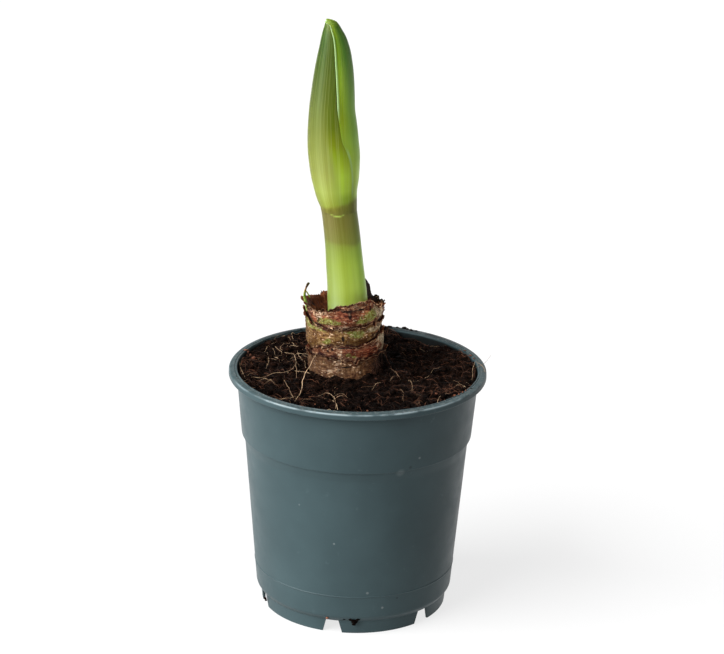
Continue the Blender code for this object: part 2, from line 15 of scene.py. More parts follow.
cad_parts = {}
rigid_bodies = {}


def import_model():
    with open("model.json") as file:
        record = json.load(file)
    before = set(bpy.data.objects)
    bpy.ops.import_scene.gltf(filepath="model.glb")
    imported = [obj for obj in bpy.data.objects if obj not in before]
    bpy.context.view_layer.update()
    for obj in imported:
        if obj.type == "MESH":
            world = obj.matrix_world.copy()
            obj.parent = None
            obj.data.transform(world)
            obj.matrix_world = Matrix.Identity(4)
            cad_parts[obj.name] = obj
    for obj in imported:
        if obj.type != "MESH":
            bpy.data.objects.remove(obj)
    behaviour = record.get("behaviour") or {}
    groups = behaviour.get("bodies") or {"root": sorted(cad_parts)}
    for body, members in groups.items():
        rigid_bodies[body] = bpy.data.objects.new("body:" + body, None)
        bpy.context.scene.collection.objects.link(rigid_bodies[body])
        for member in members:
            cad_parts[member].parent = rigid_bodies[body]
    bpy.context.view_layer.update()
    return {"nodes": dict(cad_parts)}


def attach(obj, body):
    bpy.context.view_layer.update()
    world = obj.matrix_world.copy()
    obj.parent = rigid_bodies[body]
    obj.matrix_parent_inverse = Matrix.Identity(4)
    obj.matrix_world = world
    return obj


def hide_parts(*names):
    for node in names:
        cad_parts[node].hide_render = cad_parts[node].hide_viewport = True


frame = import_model()

GAP = 0.0003                      # between one solid and the next

# Pot
POT_COLUMNS = 256
POT_WALL = 0.0011
POT_BASE_RADIUS = 0.0501
POT_BASE_Z = 0.0096
POT_DRAFT = 0.0823
STEP_LOW_Z = 0.0862
STEP_HIGH_Z = 0.0914
STEP_OUT = 0.00145
RIM_RADIUS = 0.0650
RIM_TOP_Z = 0.1255
RIM_INNER_RADIUS = 0.0609
RIM_GROOVE = 0.0004
RIM_UNDER_Z = 0.1226
SKIRT_RADIUS = 0.0472
SKIRT_WALL = 0.0011
FLOOR_TOP_Z = 0.0088
FLOOR_THICKNESS = 0.0013
RIDGE_Z = 0.0215                  # a fine moulded ring round the wall
RIDGE_OUT = 0.00018
NOTCH_COUNT = 6
NOTCH_ANGLE = -12.4
NOTCH_HEIGHT = 0.0069
NOTCH_TOP_WIDTH = 0.0065
NOTCH_FOOT_WIDTH = 0.0100
CUTTER_REACH = 0.0010
DRAIN_RADIUS = 0.0042
DRAIN_CIRCLE = 0.0360
POT_MARKS = (                     # angle, height, reach, strength, tone: smudges on the plastic
    (22.5, 0.0905, 0.0030, 0.22, 112), (27.4, 0.0930, 0.0012, 0.45, 24), (25.7, 0.0194, 0.0008, 0.5, 24),
    (-10.7, 0.0514, 0.0007, 0.5, 120), (32.1, 0.0972, 0.0009, 0.5, 110), (8.0, 0.0240, 0.0010, 0.4, 118),
    (-30.0, 0.0700, 0.0006, 0.4, 120), (17.0, 0.0150, 0.0009, 0.5, 112))

# The plant's leaning axis, and the bulb's outline round it: height, radius
PLANT_FOOT = (0.0018, 0.0100, 0.0)
PLANT_LEAN = 3.43
BULB_OUTLINE = (
    (0.1400, 0.0000), (0.1400, 0.0128), (0.1385, 0.0136), (0.1200, 0.0138), (0.1165, 0.0144),
    (0.1135, 0.0180), (0.1110, 0.0218), (0.1060, 0.0270), (0.0980, 0.0318), (0.0860, 0.0354),
    (0.0720, 0.0365), (0.0580, 0.0340), (0.0470, 0.0270), (0.0420, 0.0180), (0.0405, 0.0140),
    (0.0370, 0.0130), (0.0360, 0.0118), (0.0360, 0.0000))

# Tunics, from the outside in
TUNIC_COLUMNS = 360
TUNIC_ROWS = 40
TUNIC_BURIED_ROWS = 4
TUNIC_THICKNESS = 0.00075
TUNIC_EDGE_THICKNESS = 0.00018
TUNIC_PITCH = 0.0011
TUNIC_OUTER_RADIUS = 0.0194
TUNIC_SHOWN_RADIUS = 0.0192
TUNIC_SWELL_HEIGHT = 0.0035
TUNIC_LIP = 0.0009
TUNIC_LIP_HEIGHT = 0.0013
# how far painted shade reaches above the next tunic out's edge
CREASE_HEIGHT = 0.00050
TUNIC_LEVEL_STEP = 0.0003
TUNIC_RAGGED = 0.00045
TUNIC_BURIED_Z = 0.1175
TUNICS = (                        # name, edge height, lobes of the edge, lobes of the radius
    ("tunic_5", 0.1324, ((-38, 0.0022, 24), (175, -0.0030, 60)), ()),
    ("tunic_4", 0.1399, ((78, 0.0038, 28), (-82, -0.0056, 30), (190, 0.0012, 50)), ()),
    ("tunic_3", 0.1491, ((-88, 0.0052, 34), (130, -0.0020, 40)), ((-90, 0.0008, 40),)),
    ("tunic_2", 0.1576, ((18, 0.0044, 42), (40, 0.0018, 14), (-92, -0.0014, 22), (180, -0.0045, 55),
                         (94, -0.0024, 24), (-29, 0.0016, 5), (-21, 0.0014, 5)), ((92, 0.0010, 14),)),
    ("tunic_1", 0.1560, ((147, 0.0078, 11), (-95, 0.0042, 22), (30, -0.0020, 60), (-150, 0.0014, 26)),
     ((-92, 0.0020, 22),)))
CRUMPLE = 0.00042                 # how far the papery skin stands off its smooth sleeve
TUNIC_COLOURS = (                 # painted shade on the left side as a factor, four screen colours from dark to light
    (0.62, (60, 32, 17), (87, 56, 33), (110, 78, 50), (139, 107, 78)),
    (1.0, (42, 15, 7), (90, 50, 31), (120, 80, 56), (172, 140, 108)),
    (1.0, (48, 23, 8), (90, 59, 28), (118, 88, 48), (156, 128, 88)),
    (1.0, (32, 8, 3), (84, 40, 22), (126, 82, 54), (196, 164, 130)),
    (1.0, (24, 9, 4), (56, 26, 14), (84, 50, 30), (120, 84, 56)))
PAPER_STOPS = (0.44, 0.488, 0.536, 0.59)
TEETH = 0.00045                   # of the torn edges
FINE_TEETH = 0.00055
NOTCH_DEPTH = 0.0045

# Patches and scraps on the neck's skin
NECK_PATCHES = {                  # angle, height, half-width in degrees, half-height
    "green": ((-27, 0.1522, 13, 0.0014), (-40, 0.1506, 7, 0.0008), (-12, 0.1514, 8, 0.0008), (40, 0.1536, 12, 0.0020),
              (27, 0.1522, 9, 0.0010), (50, 0.1550, 8, 0.0026), (-58, 0.1474, 11, 0.0011), (-40, 0.1468, 8, 0.0008),
              (18, 0.1452, 8, 0.0013), (24, 0.1462, 5, 0.0010), (-32, 0.1402, 5, 0.0006), (-26, 0.1418, 4, 0.0011),
              (4, 0.1348, 3.5, 0.0010), (13, 0.1336, 3, 0.0007), (-68, 0.1490, 8, 0.0016), (8, 0.1470, 8, 0.0006),
              (120, 0.1500, 26, 0.0030), (-150, 0.1510, 24, 0.0026), (170, 0.1432, 22, 0.0018),
              (-112, 0.1420, 16, 0.0016), (105, 0.1365, 12, 0.0014)),
    "pale": ((-47, 0.1548, 10, 0.0018), (-33, 0.1560, 8, 0.0010), (-19, 0.1489, 14, 0.0008), (-9, 0.1362, 4, 0.0024),
             (-9, 0.1320, 2.5, 0.0020), (-20, 0.1263, 8, 0.0009), (-32, 0.1252, 7, 0.0006), (2, 0.1494, 8, 0.0005),
             (-34, 0.1384, 7, 0.0006), (57, 0.1500, 11, 0.0007), (-14, 0.1290, 3, 0.0016), (68, 0.1446, 6, 0.0012),
             (145, 0.1460, 14, 0.0012), (-140, 0.1380, 12, 0.0016), (180, 0.1330, 14, 0.0010),
             (-170, 0.1520, 12, 0.0009), (125, 0.1300, 10, 0.0018)),
    "ash": ((62, 0.1580, 12, 0.0032), (52, 0.1470, 16, 0.0012), (84, 0.1405, 14, 0.0060), (90, 0.1310, 14, 0.0060),
            (70, 0.1540, 9, 0.0030), (60, 0.1420, 9, 0.0016)),
    "red": ((14, 0.1535, 10, 0.0017), (-8, 0.1533, 10, 0.0013), (3, 0.1568, 14, 0.0016), (36, 0.1562, 8, 0.0010),
            (22, 0.1372, 26, 0.0024), (40, 0.1345, 16, 0.0022), (-46, 0.1508, 9, 0.0008), (62, 0.1440, 10, 0.0012),
            (-55, 0.1535, 6, 0.0016), (-30, 0.1540, 5, 0.0010), (-6, 0.1500, 16, 0.0006),
            (150, 0.1500, 18, 0.0020), (-120, 0.1470, 16, 0.0016), (-160, 0.1360, 22, 0.0022)),
    # dark: partly tears and dark tissue, partly painted shade on the flaps' inner faces at the back and right and
    # along the top edges
    "dark": ((147, 0.1630, 16, 0.0085), (114, 0.1582, 24, 0.0040), (5, 0.1579, 10, 0.0005), (62, 0.1625, 9, 0.0020),
             (10, 0.1553, 2.8, 0.0018), (-2.5, 0.1432, 2.0, 0.0015), (-22, 0.1580, 6, 0.0005), (1, 0.1286, 9, 0.0004),
             (-44, 0.1515, 2, 0.0016), (28, 0.1585, 12, 0.0004), (-20, 0.1372, 3, 0.0008), (-28, 0.1362, 2, 0.0006),
             (-4, 0.1386, 14, 0.0003), (-110, 0.1530, 3, 0.0014), (160, 0.1390, 3, 0.0014)),
}
SCRAPS = (                        # angle, height, length, width, degrees it stands off, turn, tone
    (-50, 0.1560, 0.0024, 0.0018, 30, 150, 0.8), (-42, 0.1536, 0.0020, 0.0014, 35, 60, 0.7),
    (-33, 0.1570, 0.0020, 0.0012, 30, 200, 0.6), (-46, 0.1508, 0.0018, 0.0012, 40, 20, 0.3),
    (-21, 0.1492, 0.0024, 0.0009, 25, 100, 0.9), (-10, 0.1489, 0.0020, 0.0008, 30, 80, 0.8),
    (58, 0.1494, 0.0022, 0.0012, 40, 10, 0.8), (70, 0.1505, 0.0022, 0.0014, 45, 340, 0.5),
    (52, 0.1420, 0.0018, 0.0014, 40, 0, 0.7), (64, 0.1438, 0.0020, 0.0012, 40, 350, 0.6),
    (-35, 0.1387, 0.0014, 0.0009, 35, 90, 0.7), (-27, 0.1382, 0.0012, 0.0008, 40, 180, 0.8),
    (-14, 0.1366, 0.0015, 0.0010, 40, 120, 0.7), (-8, 0.1350, 0.0015, 0.0009, 45, 200, 0.8),
    (-10, 0.1330, 0.0014, 0.0009, 40, 30, 0.6), (-7, 0.1312, 0.0020, 0.0007, 35, 185, 0.9),
    (-15, 0.1276, 0.0024, 0.0009, 30, 240, 0.8), (-24, 0.1258, 0.0024, 0.0010, 30, 250, 0.7),
    (-4, 0.1418, 0.0012, 0.0008, 50, 200, 0.8), (8, 0.1570, 0.0020, 0.0016, 30, 160, 0.15),
    (20, 0.1596, 0.0024, 0.0012, 30, 90, 0.2), (34, 0.1602, 0.0022, 0.0012, 30, 80, 0.15),
    (-2, 0.1590, 0.0018, 0.0012, 35, 100, 0.2), (16, 0.1535, 0.0016, 0.0012, 35, 190, 0.3))
SCRAP_COUNT = 150
SCRAP_SEED = 31
SCRAP_THICKNESS = 0.00012

# Flower stalk: height, x, radius
SCAPE_Y = 0.0090
SCAPE = (
    (0.1000, -0.0040, 0.0090), (0.1250, -0.0049, 0.0093), (0.1410, -0.0053, 0.0098),
    (0.1580, -0.0059, 0.0101), (0.1685, -0.0067, 0.0097), (0.1770, -0.0076, 0.0094),
    (0.1855, -0.0084, 0.0091), (0.1938, -0.0093, 0.0090), (0.2022, -0.0104, 0.0089),
    (0.2060, -0.0110, 0.0089))
SCAPE_COLUMNS = 96
SCAPE_ROWS = 150
FOLD_Z = 0.2046                   # a pale fold across its front, under the bud

# Greens: rows of share of the height and screen colour, and factors at places across, left to right: the factors
# paint light and shade, darker or lighter by how light falls on each side
ACROSS = (0.06, 0.20, 0.35, 0.50, 0.65, 0.80, 0.94)
ACROSS_MOST = 1.25
# The stalk's first row is its left side and its second its right side, painted lighter: painted light on its shaded
# right
SCAPE_COLOURS = (
    ((0.50, 122, 136, 86), (0.60, 118, 132, 68), (0.74, 112, 126, 54), (0.81, 106, 118, 50),
     (0.84, 102, 110, 47), (0.862, 99, 97, 44), (0.95, 98, 90, 42), (1.0, 96, 88, 38)),
    ((0.50, 178, 204, 94), (0.60, 172, 198, 78), (0.74, 158, 184, 64), (0.81, 142, 165, 57),
     (0.84, 134, 152, 52), (0.862, 116, 122, 45), (0.95, 106, 106, 42), (1.0, 98, 98, 39)),
    ((0.83, 0.84, 0.70), (0.93, 0.92, 1.10), (0.93, 0.92, 0.98), (0.89, 0.88, 0.75), (1.0, 1.0, 0.95),
     (1.09, 1.10, 1.15), (0.96, 1.03, 0.92)))
LEFT_BRACT_COLOURS = (
    ((0.03, 116, 126, 40), (0.12, 131, 143, 66), (0.20, 124, 132, 64), (0.43, 94, 103, 42), (0.60, 74, 87, 37),
     (0.69, 62, 77, 30), (0.78, 52, 73, 21), (0.87, 35, 62, 8), (0.93, 37, 69, 8), (1.0, 68, 87, 12)),
    ((0.03, 114, 136, 24), (0.08, 124, 146, 28), (0.12, 150, 174, 44), (0.20, 150, 174, 44), (0.26, 134, 152, 26),
     (0.30, 119, 137, 17), (0.37, 99, 108, 9), (0.46, 77, 88, 7), (0.60, 64, 77, 5), (0.78, 47, 64, 4),
     (0.93, 44, 66, 8), (1.0, 78, 92, 14)),
    ((0.83, 0.83, 0.66), (1.0, 1.0, 1.08), (0.98, 0.97, 0.90), (0.98, 1.01, 0.84), (1.0, 1.03, 1.05),
     (1.05, 1.08, 1.2), (1.0, 1.0, 1.0)))
# The right bract's rows are its own greens painted lighter, as painted light on the plant's shaded right side
RIGHT_BRACT_COLOURS = (
    ((0.03, 124, 148, 46), (0.18, 156, 185, 68), (0.34, 134, 166, 46), (0.50, 118, 139, 13), (0.60, 121, 147, 22),
     (0.69, 122, 150, 32), (0.75, 110, 140, 27), (0.81, 94, 124, 20), (0.90, 83, 112, 18), (1.0, 106, 124, 18)),
    ((0.03, 150, 180, 84), (0.10, 184, 216, 116), (0.18, 198, 230, 130), (0.28, 150, 188, 84), (0.43, 117, 156, 62),
     (0.56, 112, 151, 58), (0.69, 92, 128, 54), (0.81, 71, 110, 43), (0.90, 61, 99, 38), (0.96, 56, 88, 26),
     (1.0, 88, 108, 18)),
    ((1.0, 1.0, 1.0),) * len(ACROSS))

# Bud: height, x, half-width
BUD = (
    (0.2063, -0.0110, 0.0090), (0.2145, -0.0124, 0.0104), (0.2227, -0.0131, 0.0119),
    (0.2330, -0.0138, 0.0128), (0.2400, -0.0144, 0.0127), (0.2474, -0.0148, 0.0123),
    (0.2565, -0.0152, 0.0114), (0.2658, -0.0149, 0.0107), (0.2750, -0.0146, 0.0098),
    (0.2840, -0.0145, 0.0084), (0.2889, -0.0147, 0.0073), (0.2932, -0.0151, 0.0061),
    (0.2968, -0.0156, 0.0047), (0.2984, -0.0158, 0.0040), (0.2999, -0.0161, 0.0033), (0.3008, -0.0163, 0.0027),
    (0.3013, -0.0166, 0.0022), (0.3017, -0.0171, 0.00175), (0.3020, -0.0176, 0.0013), (0.3022, -0.0180, 0.0008),
    (0.3023, -0.0182, 0.0004))
BUD_FLATNESS = 0.84
BUD_LEAST = 0.0002
SPATHE_THICKNESS = 0.0009
SPATHE_LEAST = 0.00003            # where the bracts run out over the stalk
SPATHE_COLUMNS = 84
SPATHE_ROWS = 150
EDGE_POINTS = 5                   # round each of a bract's edges
FRONT_SEAM = (                    # height, angle
    (0.2063, 50), (0.2162, 47), (0.2296, 39), (0.2378, 30), (0.2430, 22), (0.2540, 17), (0.2618, 14),
    (0.2707, 10), (0.2775, 7), (0.2842, 4), (0.2910, 3), (0.2946, 1), (0.2977, -6), (0.2999, -12), (0.3030, -14))
FLUSH_Z = 0.2510                  # below it the right bract's edge lies flush, from RAISED_Z up it is a bead
RAISED_Z = 0.2610
BEAD_OUT = 0.00036
BACK_SEAM = 196
TUCK = 17                         # how far the left bract reaches under the right one
BRACT_FOOT_Z = 0.2056
LEFT_TOP_Z = 0.3010
RIGHT_TOP_Z = 0.3023
HOOD_Z = 0.2997
HOOD_FULL_Z = 0.3012
TIP_WRAP = 78                     # how far the right bract's tip wraps over the left one, on each side
BAND_TOP_Z = 0.2097               # upper limit of the brown band at the bracts' foot, sloping up to the right
BAND_SLOPE = 0.0020

# Withered strip of leaf, on the plant's axis: distance from it, height, half-width
STRAND = ((0.0185, 0.1535, 0.0009), (0.0188, 0.1553, 0.0009), (0.0191, 0.1570, 0.0009), (0.0194, 0.1586, 0.0009),
          (0.0196, 0.1602, 0.0008), (0.0197, 0.1618, 0.0008), (0.0195, 0.1634, 0.0007),
          (0.0188, 0.1655, 0.0006), (0.0178, 0.1674, 0.0009), (0.0171, 0.1682, 0.0007))
STRAND_ANGLE = -85
STRAND_FORK = ((0.0194, 0.1640, 0.0005), (0.0186, 0.1634, 0.0004), (0.0178, 0.1620, 0.00035),
               (0.0170, 0.1603, 0.00025))

# Soil
SOIL_COLUMNS = 440
SOIL_RINGS = 104
SOIL_DEPTH = 0.0032
SOIL_DIPS = (                     # angle, depth, half-width along the wall
    (146, 0.0026, 13), (108, -0.0024, 22), (172, -0.0030, 14), (-150, -0.0021, 32), (-100, -0.0018, 25))
SOIL_NECK_RISE = 0.0012
SOIL_HEAPS = (                    # angle, height, half-width against the neck
    (60, 0.0102, 14), (88, 0.0034, 14), (-16, 0.0022, 10), (30, 0.0004, 8), (-48, 0.0010, 18), (12, -0.0008, 12))
SOIL_HEAP_REACH = 0.0046
SOIL_CLODS = 0.0015
SOIL_CRUMBS = 0.0006

# Loose bits of peat, bark and fibre
CRUMB_COUNT = 2600
CRUMB_SEED = 5
CRUMB_LEAST = 0.00030
CRUMB_SPREAD = 0.0016
CRUMB_SHAPES = 24
FINE_SHAPES = 6                   # the first shapes are finer, for crumbs over FINE_SIZE
FINE_SIZE = 0.0011
RIM_CRUMBS = (                    # x, y, size: on the rim and against the pot's inner wall
    (0.0128, 0.0563, 0.0016), (0.0165, 0.0600, 0.0012), (0.0238, 0.0585, 0.0013), (0.0275, 0.0556, 0.0011),
    (0.0146, 0.0584, 0.0012), (0.0202, 0.0596, 0.0010), (0.0256, 0.0573, 0.0010), (0.0302, 0.0552, 0.0008),
    (0.0481, -0.0351, 0.0008), (0.0522, -0.0308, 0.0006), (0.0446, -0.0380, 0.0006), (0.0562, -0.0268, 0.0006),
    (0.0460, -0.0390, 0.0005), (0.0502, -0.0330, 0.0005), (-0.0603, -0.0166, 0.0004), (0.0150, 0.0590, 0.0006),
    (0.0210, 0.0590, 0.0006), (-0.0300, 0.0540, 0.0008), (-0.0230, 0.0570, 0.0007), (0.0590, 0.0130, 0.0006))
SKIRT_CRUMB_RADIUS = 0.0487
SKIRT_CRUMBS = (                  # angle, height, size: bits of peat that stick to the skirt
    (0.9, 0.0074, 0.0016), (-1.1, 0.0086, 0.0013), (3.2, 0.0087, 0.0013), (0.9, 0.0056, 0.0011),
    (-4.8, 0.0086, 0.0009), (-66.8, 0.0049, 0.0009), (-65.6, 0.0044, 0.0007))
CHIP_COUNT = 26
CHIPS = (                         # x, y, height, size, tone: chips of bark on the rim and at the foot
    (-0.0573, 0.0207, 0.1256, 0.0011, 0.55), (-0.0560, 0.0190, 0.1252, 0.0008, 0.35),
    (-0.0548, 0.0160, 0.1246, 0.0010, 0.30), (-0.0530, 0.0130, 0.1243, 0.0009, 0.40),
    (0.0478, -0.0368, 0.1256, 0.0007, 0.50), (0.0500, -0.0352, 0.1256, 0.0006, 0.65),
    (0.0520, -0.0325, 0.1256, 0.0006, 0.45), (0.0535, -0.0300, 0.1256, 0.0005, 0.60),
    (0.0572, 0.0195, 0.1256, 0.0008, 0.40), (0.0590, 0.0150, 0.1258, 0.0006, 0.30),
    (0.0548, 0.0262, 0.1256, 0.0006, 0.35), (-0.0126, -0.0477, 0.0086, 0.0012, 0.75),
    (0.0052, -0.0560, 0.1240, 0.0006, 0.75), (-0.0205, -0.0488, 0.1240, 0.0005, 0.70),
    (0.0390, -0.0310, 0.1240, 0.0008, 0.35))
BROWN_FIBRES = 1500
TAN_FIBRES = 90
FIBRE_SEED = 12
FIBRE_STEP = 0.0011
FIBRE_WAVER = 0.0005
TUFTS = (                         # x, y, reach, fibres: where fibres lie thick
    (0.0410, -0.0233, 0.0080, 60), (0.0112, -0.0373, 0.0035, 16), (-0.0477, -0.0132, 0.0070, 30),
    (-0.0548, 0.0090, 0.0050, 24), (-0.0281, -0.0368, 0.0070, 22), (-0.0084, -0.0397, 0.0060, 14),
    (0.0285, -0.0336, 0.0060, 18), (0.0540, 0.0060, 0.0060, 26), (0.0500, 0.0200, 0.0060, 20),
    (0.0190, 0.0540, 0.0060, 26), (0.0340, 0.0460, 0.0060, 14))
NECK_TUFT = (0.0192, 36, 78, 90)  # radius from the plant's axis, first and last angle, fibres
LONG_FIBRES = (                   # tone, radius, places
    (0.85, 0.00017, ((-0.0213, -0.0028, 0.1320), (-0.0226, -0.0048, 0.1308), (-0.0239, -0.0080, 0.1290),
                     (-0.0256, -0.0120, 0.1274), (-0.0271, -0.0200, 0.1255), (-0.0278, -0.0313, 0.1245),
                     (-0.0302, -0.0488, 0.1252))),
    (0.48, 0.00012, ((-0.0447, 0.0405, 0.1238), (-0.0417, 0.0273, 0.1240), (-0.0363, 0.0218, 0.1240),
                    (-0.0327, 0.0191, 0.1242), (-0.0313, 0.0047, 0.1240), (-0.0303, -0.0122, 0.1236))),
    (0.50, 0.00011, ((-0.0569, -0.0193, 0.1238), (-0.0527, -0.0135, 0.1240), (-0.0477, -0.0132, 0.1238),
                     (-0.0415, -0.0072, 0.1240), (-0.0350, -0.0040, 0.1238), (-0.0313, 0.0061, 0.1236))),
    (0.42, 0.00011, ((-0.0600, 0.0100, 0.1240), (-0.0585, -0.0041, 0.1244), (-0.0560, -0.0151, 0.1238))),
    (0.44, 0.00010, ((-0.0372, -0.0140, 0.1236), (-0.0338, -0.0276, 0.1240), (-0.0315, -0.0397, 0.1236))),
    (0.45, 0.00010, ((-0.0193, -0.0363, 0.1236), (-0.0144, -0.0333, 0.1240), (-0.0113, -0.0399, 0.1238),
                     (-0.0102, -0.0531, 0.1236))),
    (0.5, 0.00010, ((-0.0466, 0.0226, 0.1236), (-0.0452, 0.0111, 0.1240), (-0.0462, -0.0004, 0.1236))),
    (0.50, 0.00012, ((0.0391, -0.0437, 0.1236), (0.0413, -0.0342, 0.1242), (0.0458, -0.0299, 0.1236))),
    (0.6, 0.00011, ((0.0596, 0.0129, 0.1250), (0.0582, 0.0014, 0.1252), (0.0573, -0.0113, 0.1240))),
    (0.5, 0.00010, ((-0.0367, 0.0321, 0.1238), (-0.0349, 0.0426, 0.1240))),
    (0.2, 0.00010, ((0.0590, 0.0020, 0.1250), (0.0628, 0.0010, 0.1278), (0.0650, 0.0000, 0.1306),
                    (0.0668, 0.0, 0.1335))),
    (0.5, 0.00010, ((0.0600, 0.0100, 0.1256), (0.0632, 0.0020, 0.1262), (0.0640, -0.0052, 0.1256))))

# Camera, fitted to the pot's rings in the photograph of 724 by 654 pixels
PHOTO_WIDTH_PX = 724
FOCAL_LENGTH_PX = 2758.2
SENSOR_WIDTH_MM = 36.0
EYE = (0.0, -1.3000, 0.6182)
PITCH = 19.929
YAW = 0.075
ROLL = 1.211

# Studio: a glowing table, a very soft light from the left, a weak one from above and a pale wall behind
FLOOR_WIDTH = 10.0
FLOOR_GLOW = 0.76
KEY_TURN = -64
KEY_RISE = 33
KEY_SPREAD = 60
KEY_POWER = 9.4
TOP_TURN = 20
TOP_RISE = 80
TOP_SPREAD = 90
TOP_POWER = 0.9
BACK_GLOW = 0.80
BACK_TURN = 25                    # degrees from straight behind towards the right
WORLD_GLOW = 0.06


def around(angle, radius):
    """The point at an angle from the front and a distance from the axis."""
    turn = math.radians(angle)
    return radius * math.sin(turn), -radius * math.cos(turn)


def polar(angle, radius, z):
    """The point at an angle, a distance from the axis and a height."""
    return Vector((*around(angle, radius), z))


def turned(angle, centre=0):
    """How far an angle lies from a centre, from -180 to 180."""
    return (angle - centre + 180) % 360 - 180


def between(rows, at):
    """The rest of a row at the value `at` of its first column, on a smooth curve through the rows."""
    at = min(max(at, rows[0][0]), rows[-1][0])
    k = max(i for i in range(len(rows) - 1) if rows[i][0] <= at)
    low, high = rows[k], rows[k + 1]
    before, after = rows[max(k - 1, 0)], rows[min(k + 2, len(rows) - 1)]
    span = high[0] - low[0]
    t = (at - low[0]) / span
    values = []
    for c in range(1, len(low)):
        slope_low = (high[c] - before[c]) / (high[0] - before[0]) * span
        slope_high = (after[c] - low[c]) / (after[0] - low[0]) * span
        values.append(low[c] * (2 * t ** 3 - 3 * t ** 2 + 1) + slope_low * (t ** 3 - 2 * t ** 2 + t)
                      + high[c] * (3 * t ** 2 - 2 * t ** 3) + slope_high * (t ** 3 - t ** 2))
    return values


def straight(rows, at):
    """The second column at the value `at` of the first, on straight lines through the rows."""
    k = max([i for i in range(len(rows) - 1) if rows[i][0] <= at], default=0)
    low, high = rows[k], rows[k + 1]
    return low[1] + (high[1] - low[1]) * (at - low[0]) / (high[0] - low[0])


def smoothstep(t):
    t = min(max(t, 0.0), 1.0)
    return t * t * (3 - 2 * t)


def bell(off, width):
    """1 at the middle of a smooth bump, fading over its width."""
    return math.exp(-(off / width) ** 2)


def lobes(angle, shapes):
    """The sum of smooth bumps round a circle, each (angle, height, half-width)."""
    return sum(height * bell(turned(angle, centre), width) for centre, height, width in shapes)


def on_circle(angle, z=0.0):
    """A point of the neck's surface, as a place to read noise that closes on itself."""
    return polar(angle, TUNIC_OUTER_RADIUS, z)


def placed(name, data):
    """A new object in the scene that holds this data."""
    made = bpy.data.objects.new(name, data)
    bpy.context.scene.collection.objects.link(made)
    return made


def smoothed(mesh, sharp):
    mesh.shade_smooth()
    mesh.set_sharp_from_angle(angle=math.radians(sharp))
    return mesh


def mesh_of(name, points, faces, sharp=50, **values):
    """A closed mesh facing outwards, with named values at its points for its material."""
    mesh = bpy.data.meshes.new(name)
    mesh.from_pydata([tuple(point) for point in points], [], faces)
    for key, numbers in values.items():
        mesh.attributes.new(key, "FLOAT", "POINT").data.foreach_set("value", numbers)
    shape = bmesh.new()
    shape.from_mesh(mesh)
    bmesh.ops.recalc_face_normals(shape, faces=shape.faces)
    shape.to_mesh(mesh)
    shape.free()
    return smoothed(mesh, sharp)


def grid_faces(rows, columns, ring=False):
    """Quads of a grid that closes on itself along its rows, and across them where it is a ring."""
    faces = []
    for i in range(rows if ring else rows - 1):
        low, high = i * columns, (i + 1) % rows * columns
        for j in range(columns):
            k = (j + 1) % columns
            faces.append((low + j, low + k, high + k, high + j))
    if not ring:
        faces.append(tuple(range(columns)))
        faces.append(tuple(range((rows - 1) * columns, rows * columns)))
    return faces


def put(name, mesh, look, slot, *nodes):
    """Adds a piece that rides on the object's one body and stands for these solids."""
    mesh.materials.clear()
    mesh.materials.append(look)
    piece = placed(name, mesh)
    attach(piece, "root")
    if nodes:
        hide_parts(*nodes)


def tube_rings(path, sides, flat):
    """Rings of points round a path of (place, radius), each square to it."""
    rings = []
    side = None
    for k, (place, radius) in enumerate(path):
        ahead = (path[min(k + 1, len(path) - 1)][0] - path[max(k - 1, 0)][0]).normalized()
        side = ahead.orthogonal().normalized() if side is None else side
        side = (side - ahead * side.dot(ahead)).normalized()
        over = ahead.cross(side)
        turns = [2 * math.pi * s / sides for s in range(sides)]
        rings.append([place + (side * math.cos(turn) + over * flat * math.sin(turn)) * radius
                      for turn in turns])
    return rings


class Skin:
    """Points and faces gathered for one mesh, with named values at the points for its material."""

    def __init__(self):
        self.points, self.faces, self.values = [], [], {}

    def add(self, points, faces=(), **values):
        """Adds points that share these values, and the faces between them."""
        start = len(self.points)
        self.points += points
        self.faces += [tuple(start + i for i in face) for face in faces]
        for key, value in values.items():
            self.values.setdefault(key, []).extend([value] * len(points))

    def add_tube(self, path, sides, shade, flat=1.0):
        rings = tube_rings(path, sides, flat)
        self.add([point for ring in rings for point in ring], grid_faces(len(rings), sides), tone=shade)

    def put(self, name, look, slot, *nodes, sharp=75):
        put(name, mesh_of(name, self.points, self.faces, sharp, **self.values), look, slot, *nodes)


def tone(red, green, blue):
    """A screen colour as the linear colour that shaders take."""
    parts = [c / 255 for c in (red, green, blue)]
    return tuple(c / 12.92 if c <= 0.04045 else ((c + 0.055) / 1.055) ** 2.4 for c in parts) + (1.0,)


